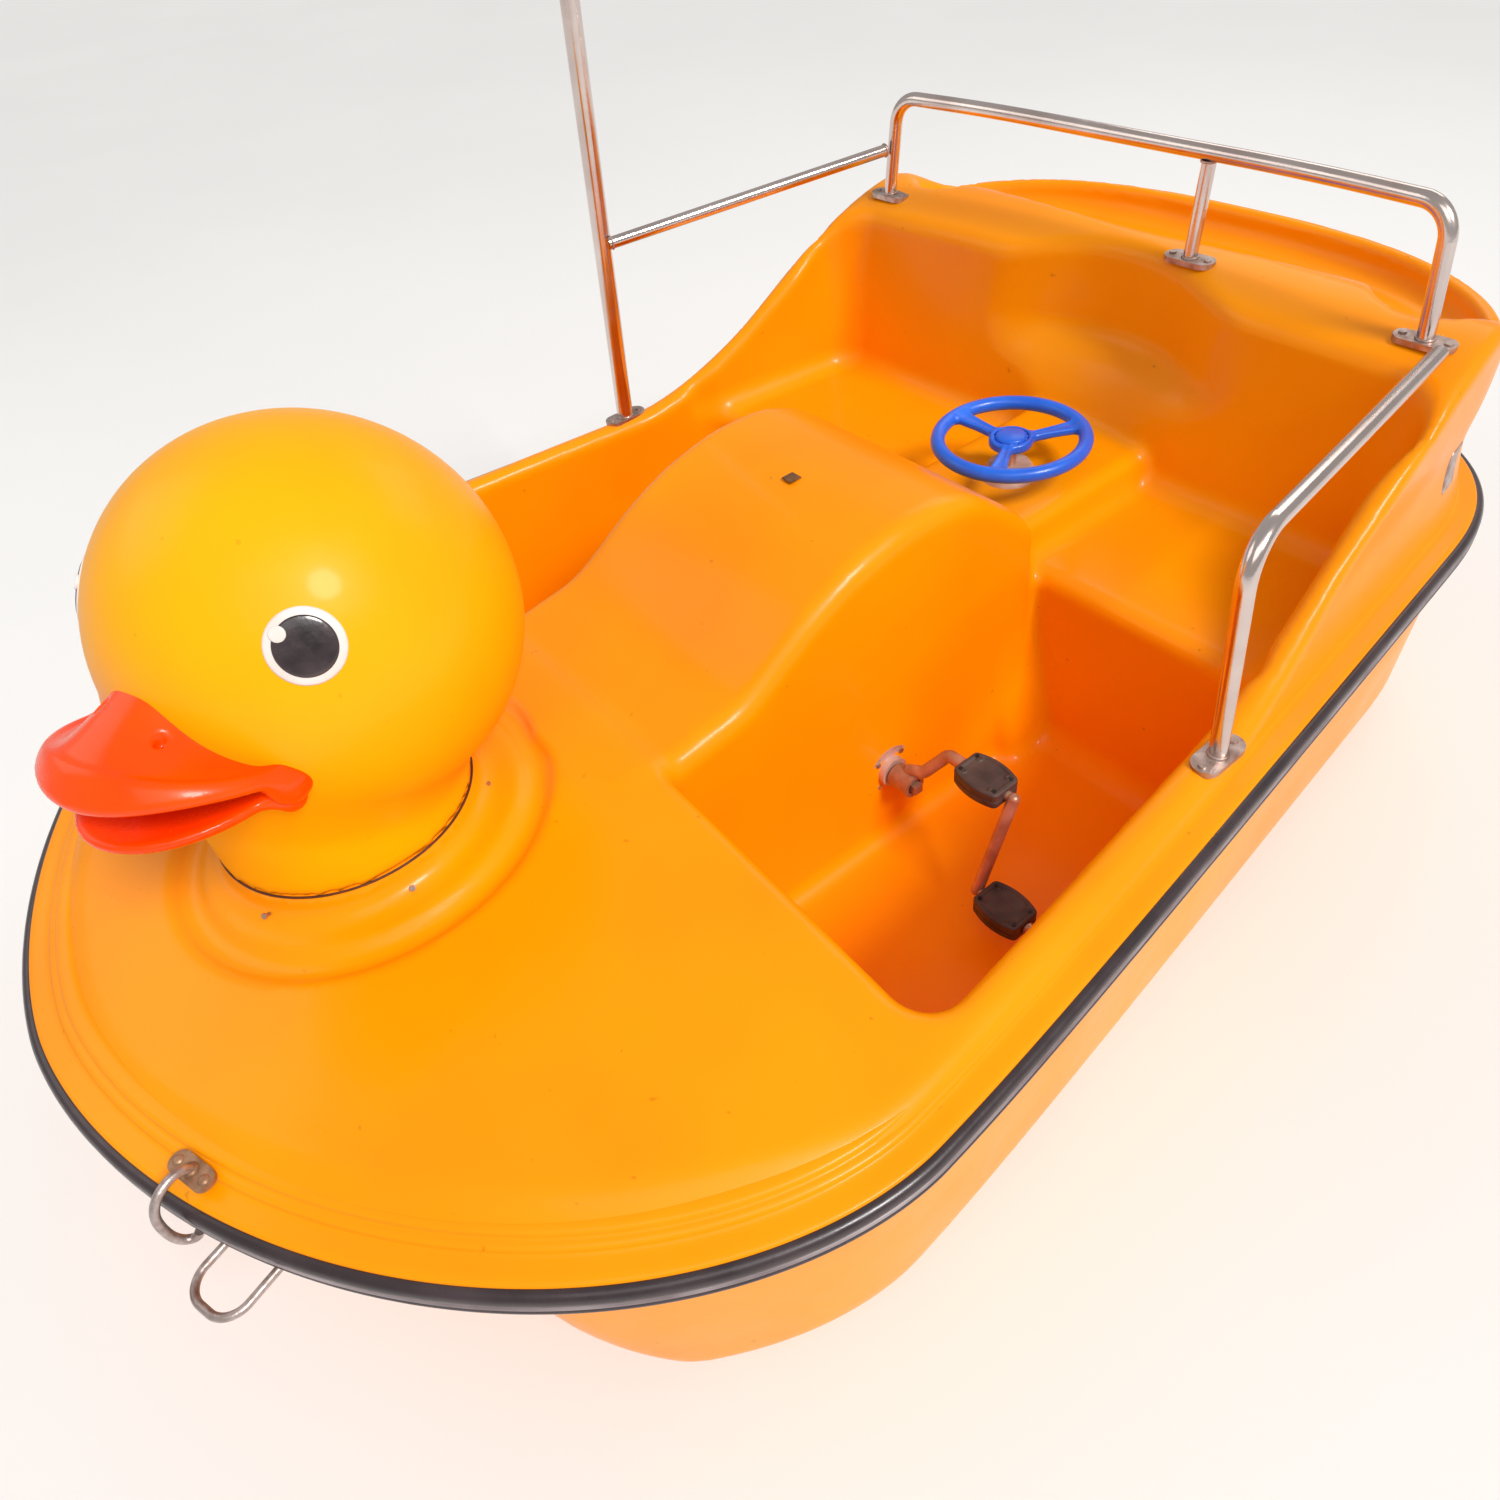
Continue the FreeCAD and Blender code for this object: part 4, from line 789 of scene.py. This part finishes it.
def wheel_field(x, y, z):
    """A round rim with three flat spokes that widen outwards from a plain hub."""
    r = np.hypot(x, y)
    rim = np.hypot(r - RIM_CENTRE, z) - RIM_R
    low = z + WHEEL_DROP
    spokes = meet(r - WHEEL_HUB_R, np.abs(low) - 0.009, 0.006)
    for turn in (60.0, 180.0, 300.0):
        angle = math.radians(turn)
        along = x * math.cos(angle) + y * math.sin(angle)
        across = np.abs(y * math.cos(angle) - x * math.sin(angle))
        width = 0.0105 + 0.9 * np.maximum(along - 0.045, 0.0) ** 1.9
        ridge = 0.0022 * np.exp(-((across - width + 0.004) / 0.003) ** 2)
        arm = meet(across - width, np.abs(low - 0.05 * (along - 0.04)) - 0.0052 - ridge, 0.004)
        arm = meet(arm, meet(-along, along - 0.126, 0.004), 0.004)
        spokes = join(spokes, arm, 0.007)
    moat = meet(np.abs(r - 0.0295) - 0.0016, 0.0015 - low, 0.001)
    return meet(join(rim, spokes, 0.008), -moat, 0.001)


def build_steering_wheel():
    low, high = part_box("steering_wheel")
    centre = ((low.x + high.x) / 2.0, (low.y + high.y) / 2.0, high.z - 0.013)
    wheel = mesh_field("wheel", wheel_field, (-0.15, -0.15, -0.02), (0.15, 0.15, 0.02), 0.0032,
                       centre)
    finish_piece(wheel, MATERIALS["wheel_plastic"], "steering", "wheel_plastic", "steering_wheel")
    cap = lathe("wheel_cap", [(0.0, 0.0085), (0.012, 0.0083), (0.022, 0.0074), (0.0262, 0.0060),
                              (0.0272, 0.0040), (0.0272, 0.0)], centre)
    finish_piece(cap, MATERIALS["wheel_plastic"], "steering", "wheel_plastic",
                 "steering_wheel_cap")


# ---- pedals ----
PEDAL_HALF, PEDAL_SIDE, PEDAL_RISE = 0.0447, 0.036, 0.0148
PEDAL_BOSS_X, PEDAL_BOSS_Y = 0.030, 0.019


def pedal_field(x, y, z):
    """A moulded pedal: barrel-sided, split round its middle, with a framed tread."""
    plan = np.abs(y) - PEDAL_SIDE + 0.010 * (x / 0.045) ** 2
    block = meet(meet(np.abs(x) - PEDAL_HALF, plan, 0.006), np.abs(z) - PEDAL_RISE, 0.0035)
    tread = meet(meet(np.abs(x) - 0.036, plan + 0.0075, 0.004), 0.0130 - np.abs(z), 0.001)
    block = meet(block, -tread, 0.001)
    split = meet(np.abs(z) - 0.0010, -(meet(np.abs(x) - 0.0435, plan + 0.0014, 0.006)), 0.0004)
    block = meet(block, -split, 0.0006)
    for hand in (1, -1):
        away = np.hypot(np.abs(x) - PEDAL_BOSS_X, y - hand * PEDAL_BOSS_Y)
        boss = meet(away - 0.0062, np.abs(z) - PEDAL_RISE, 0.0012)
        block = join(block, boss, 0.001)
        socket = meet(away - 0.0032, 0.0136 - np.abs(z), 0.0004)
        block = meet(block, -socket, 0.0006)
    return block


def build_pedals():
    names = [f"{side}_{place}" for side in ("port", "starboard") for place in ("inner", "outer")]
    first = mesh_field("pedal", pedal_field, (-0.05, -0.04, -0.018), (0.05, 0.04, 0.018), 0.0014,
                       (0.0, 0.0, 0.0))
    for name in names:
        low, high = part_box(name + "_pedal")
        piece = bpy.data.objects.new(name + "_tread", first.data.copy())
        piece.data.transform(Matrix.Translation((low + high) / 2.0))
        bpy.context.scene.collection.objects.link(piece)
        finish_piece(piece, MATERIALS["pedal_plastic"], name + "_pedal_body", "pedal_plastic",
                     name + "_pedal")
    bpy.data.objects.remove(first)


# ---- small metalwork ----
def tube_curve(name, points, radius, material, slot, body, *replaced):
    """A rod along a smooth curve with flat capped ends, as a mesh."""
    curve = bpy.data.curves.new(name, "CURVE")
    curve.dimensions = "3D"
    curve.bevel_depth = radius
    curve.bevel_resolution = 5
    curve.use_fill_caps = True
    spline = curve.splines.new("NURBS")
    spline.points.add(len(points) - 1)
    for place, point in zip(spline.points, points):
        place.co = (*point, 1.0)
    spline.order_u = 4
    spline.use_endpoint_u = True
    spline.resolution_u = 10
    holder = bpy.data.objects.new(name + "_curve", curve)
    bpy.context.scene.collection.objects.link(holder)
    bpy.context.view_layer.update()
    made = final_mesh(holder)
    bpy.data.objects.remove(holder)
    made.shade_smooth()
    piece = bpy.data.objects.new(name, made)
    bpy.context.scene.collection.objects.link(piece)
    return finish_piece(piece, material, body, slot, *replaced)


def build_bow_hook():
    low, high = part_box("bow_plate")
    top = Vector(((low.x + high.x) / 2.0, (low.y + high.y) / 2.0, high.z))
    along = Vector((118.0, 40.0, 0.0)).normalized()
    out = Vector((along.y, -along.x, 0.0))
    up = Vector((0.0, 0.0, 1.0))
    route = [(-0.002, -0.004, 0.0), (0.002, 0.010, 0.0), (0.018, 0.017, 0.0),
             (0.040, 0.011, 0.001), (0.055, -0.008, 0.002), (0.058, -0.036, 0.003),
             (0.057, -0.058, 0.005), (0.050, -0.072, 0.010), (0.040, -0.070, 0.018),
             (0.037, -0.060, 0.021)]
    spots = [top + out * ahead + up * rise + along * aside for ahead, rise, aside in route]
    tube_curve("hook_rod", spots, 0.0055, MATERIALS["stainless_rod"], "stainless_rod", "boat",
               "bow_hook")
    boss = lathe("hook_boss", [(0.0, 0.004), (0.006, 0.0038), (0.0085, 0.0022),
                               (0.0095, -0.001)], top)
    finish_piece(boss, WEATHERED, "boat", "stainless_plate")
    for side in (1, -1):
        spot = top + along * (0.023 * side)
        rivet = lathe(f"hook_rivet_{'port' if side > 0 else 'starboard'}",
                      [(0.0, 0.0034), (0.003, 0.0032), (0.0055, 0.0022), (0.0068, 0.0)], spot)
        finish_piece(rivet, WEATHERED, "boat", "stainless_plate")


def wall_x(s, z):
    """Where the deck's port wall stands, found between the cockpit and the outline."""
    low, high = np.full(np.shape(s), 0.60), np.full(np.shape(s), 0.86)
    for _ in range(24):
        middle = (low + high) / 2.0
        inside = deck_field(middle, s, z) < 0.0
        low, high = np.where(inside, middle, low), np.where(inside, high, middle)
    return low


def build_rating_plate():
    """A thin plate that follows the outer wall at the stern."""
    low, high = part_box("rating_plate")
    s_mid = (low.y + high.y) / 2.0 + HALF_LENGTH - 0.045
    z_mid = (low.z + high.z) / 2.0 + 0.015
    across, rise = np.meshgrid(np.linspace(-1, 1, 15), np.linspace(-1, 1, 21))
    corner = np.maximum(np.hypot(np.maximum(np.abs(across) - 0.8, 0.0) / 0.2,
                                 np.maximum(np.abs(rise) - 0.86, 0.0) / 0.14), 1.0)
    s = s_mid + 0.026 * across / corner ** 0.25
    z = z_mid + 0.037 * rise / corner ** 0.25
    x = wall_x(s, z)
    edge = np.maximum(np.abs(across), np.abs(rise)) > 0.999
    faces, points = [], []
    rows, columns = s.shape
    for lift in (np.where(edge, 0.0004, 0.0016), np.full(s.shape, -0.003)):
        points += np.stack([x + lift, s - HALF_LENGTH, z], axis=-1).reshape(-1, 3).tolist()
    for i in range(rows - 1):
        for j in range(columns - 1):
            a = i * columns + j
            b = a + rows * columns
            faces.append((a, a + 1, a + columns + 1, a + columns))
            faces.append((b, b + columns, b + columns + 1, b + 1))
    border = list(range(columns))
    border += [i * columns + columns - 1 for i in range(1, rows)]
    border += [(rows - 1) * columns + j for j in range(columns - 2, -1, -1)]
    border += [i * columns for i in range(rows - 2, 0, -1)]
    for a, b in zip(border, border[1:] + border[:1]):
        faces.append((b, a, a + rows * columns, b + rows * columns))
    plate = mesh_object("rating_sheet", points, faces)
    finish_piece(plate, MATERIALS["stainless_plate"], "boat", "stainless_plate", "rating_plate")


BASE_SPOTS = {
    "front_port": (0.720, 1.390), "front_starboard": (-0.720, 1.390),
    "rear_port": (0.562, 2.030), "rear_starboard": (-0.562, 2.030), "rear_middle": (0.144, 2.052),
}


def build_welds():
    """A bead of weld where each rail meets its plate or another rail."""
    for name, (x, s) in BASE_SPOTS.items():
        radius = 0.0172 if name == "front_starboard" else 0.0128
        spot = (x, s - HALF_LENGTH, float(deck_height(x, s)) + 0.0068)
        ring_piece("weld_" + name, spot, (0, 0, 1), radius, 0.0022, MATERIALS["stainless_plate"],
                   "stainless_tube", turns=48)
    low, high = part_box("rear_middle_post")
    ring_piece("weld_post_top", ((low.x + high.x) / 2.0, high.y - 0.0125, high.z - 0.001),
               (0, 0, 1), 0.0122, 0.002, MATERIALS["stainless_plate"], "stainless_tube", turns=48)
    low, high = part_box("starboard_side_rail")
    way = Vector((high.x - low.x - 0.02, high.y - low.y, 0.02))
    ends = {"weld_rail_front": (low.x + 0.014, low.y + 0.008, low.z + 0.0125),
            "weld_rail_rear": (high.x - 0.012, high.y - 0.006, high.z - 0.0115)}
    for name, spot in ends.items():
        ring_piece(name, spot, way, 0.0115, 0.0018, MATERIALS["stainless_plate"],
                   "stainless_tube", turns=48)


for weathered in ("bow_plate", "bow_plate_screws"):
    NODES[weathered].material_slots[0].material = WEATHERED
build_steering_wheel()
build_pedals()
build_bow_hook()
build_rating_plate()
build_welds()


# ---- camera, lights and floor ----
CAMERA_SPOT = (1.1929, -0.8936, 1.5582)
CAMERA_TURN = (56.8, 43.99, -8.29)      # azimuth, elevation and roll in degrees
SUN_WAY = (-0.95, -0.12, -1.0)
FLOOR_HALF = 60.0


def build_camera():
    azimuth, elevation, roll = (math.radians(angle) for angle in CAMERA_TURN)
    back = Vector((math.sin(azimuth) * math.cos(elevation),
                   -math.cos(azimuth) * math.cos(elevation), math.sin(elevation)))
    right = Vector((math.cos(azimuth), math.sin(azimuth), 0.0))
    up = back.cross(right)
    right_rolled = right * math.cos(roll) + up * math.sin(roll)
    up_rolled = up * math.cos(roll) - right * math.sin(roll)
    data = bpy.data.cameras.new("camera")
    data.sensor_width = 36.0
    data.lens = 25.83
    data.shift_x = -0.005
    data.shift_y = -0.007
    camera = bpy.data.objects.new("camera", data)
    turn = Matrix((right_rolled, up_rolled, back)).transposed().to_4x4()
    camera.matrix_world = Matrix.Translation(CAMERA_SPOT) @ turn
    bpy.context.scene.collection.objects.link(camera)
    bpy.context.scene.camera = camera


def area_light(name, spot, aim, size, power):
    data = bpy.data.lights.new(name, "AREA")
    data.shape = "RECTANGLE"
    data.size, data.size_y = size
    data.energy = power
    data.color = (1.0, 0.97, 0.94)
    lamp = bpy.data.objects.new(name, data)
    lamp.location = spot
    lamp.rotation_mode = "QUATERNION"
    lamp.rotation_quaternion = (Vector(aim) - Vector(spot)).to_track_quat("-Z", "Y")
    bpy.context.scene.collection.objects.link(lamp)


def build_stage():
    half = FLOOR_HALF
    floor = mesh_object("floor", [(-half, -half, 0), (half, -half, 0), (half, half, 0),
                                  (-half, half, 0)], [(0, 1, 2, 3)])
    floor.data.materials.append(surface("floor", (0.86, 0.86, 0.86), (0.84, 0.84, 0.84),
                                        (0.6, 0.7), patch_scale=0.6, grain_scale=90.0))
    world = bpy.data.worlds.new("studio")
    bpy.context.scene.world = world
    world.use_nodes = True
    backdrop = world.node_tree.nodes["Background"]
    backdrop.inputs["Color"].default_value = (1.0, 0.985, 0.97, 1.0)
    backdrop.inputs["Strength"].default_value = 0.4
    sun = bpy.data.objects.new("sun", bpy.data.lights.new("sun", "SUN"))
    sun.data.energy = 2.5
    sun.data.angle = math.radians(16.0)
    sun.data.color = (1.0, 0.98, 0.95)
    sun.rotation_mode = "QUATERNION"
    sun.rotation_quaternion = Vector(SUN_WAY).to_track_quat("-Z", "Y")
    bpy.context.scene.collection.objects.link(sun)
    area_light("key", (2.2, -1.6, 3.4), (0.2, -0.4, 0.4), (2.6, 2.0), 22.0)
    area_light("back", (-0.8, 3.6, 3.2), (0.0, 0.2, 0.5), (3.0, 1.6), 22.0)
    area_light("left", (-2.4, -2.4, 3.0), (0.0, -0.4, 0.5), (2.4, 2.0), 16.0)


build_camera()
build_stage()
bpy.context.scene.view_settings.view_transform = "Standard"
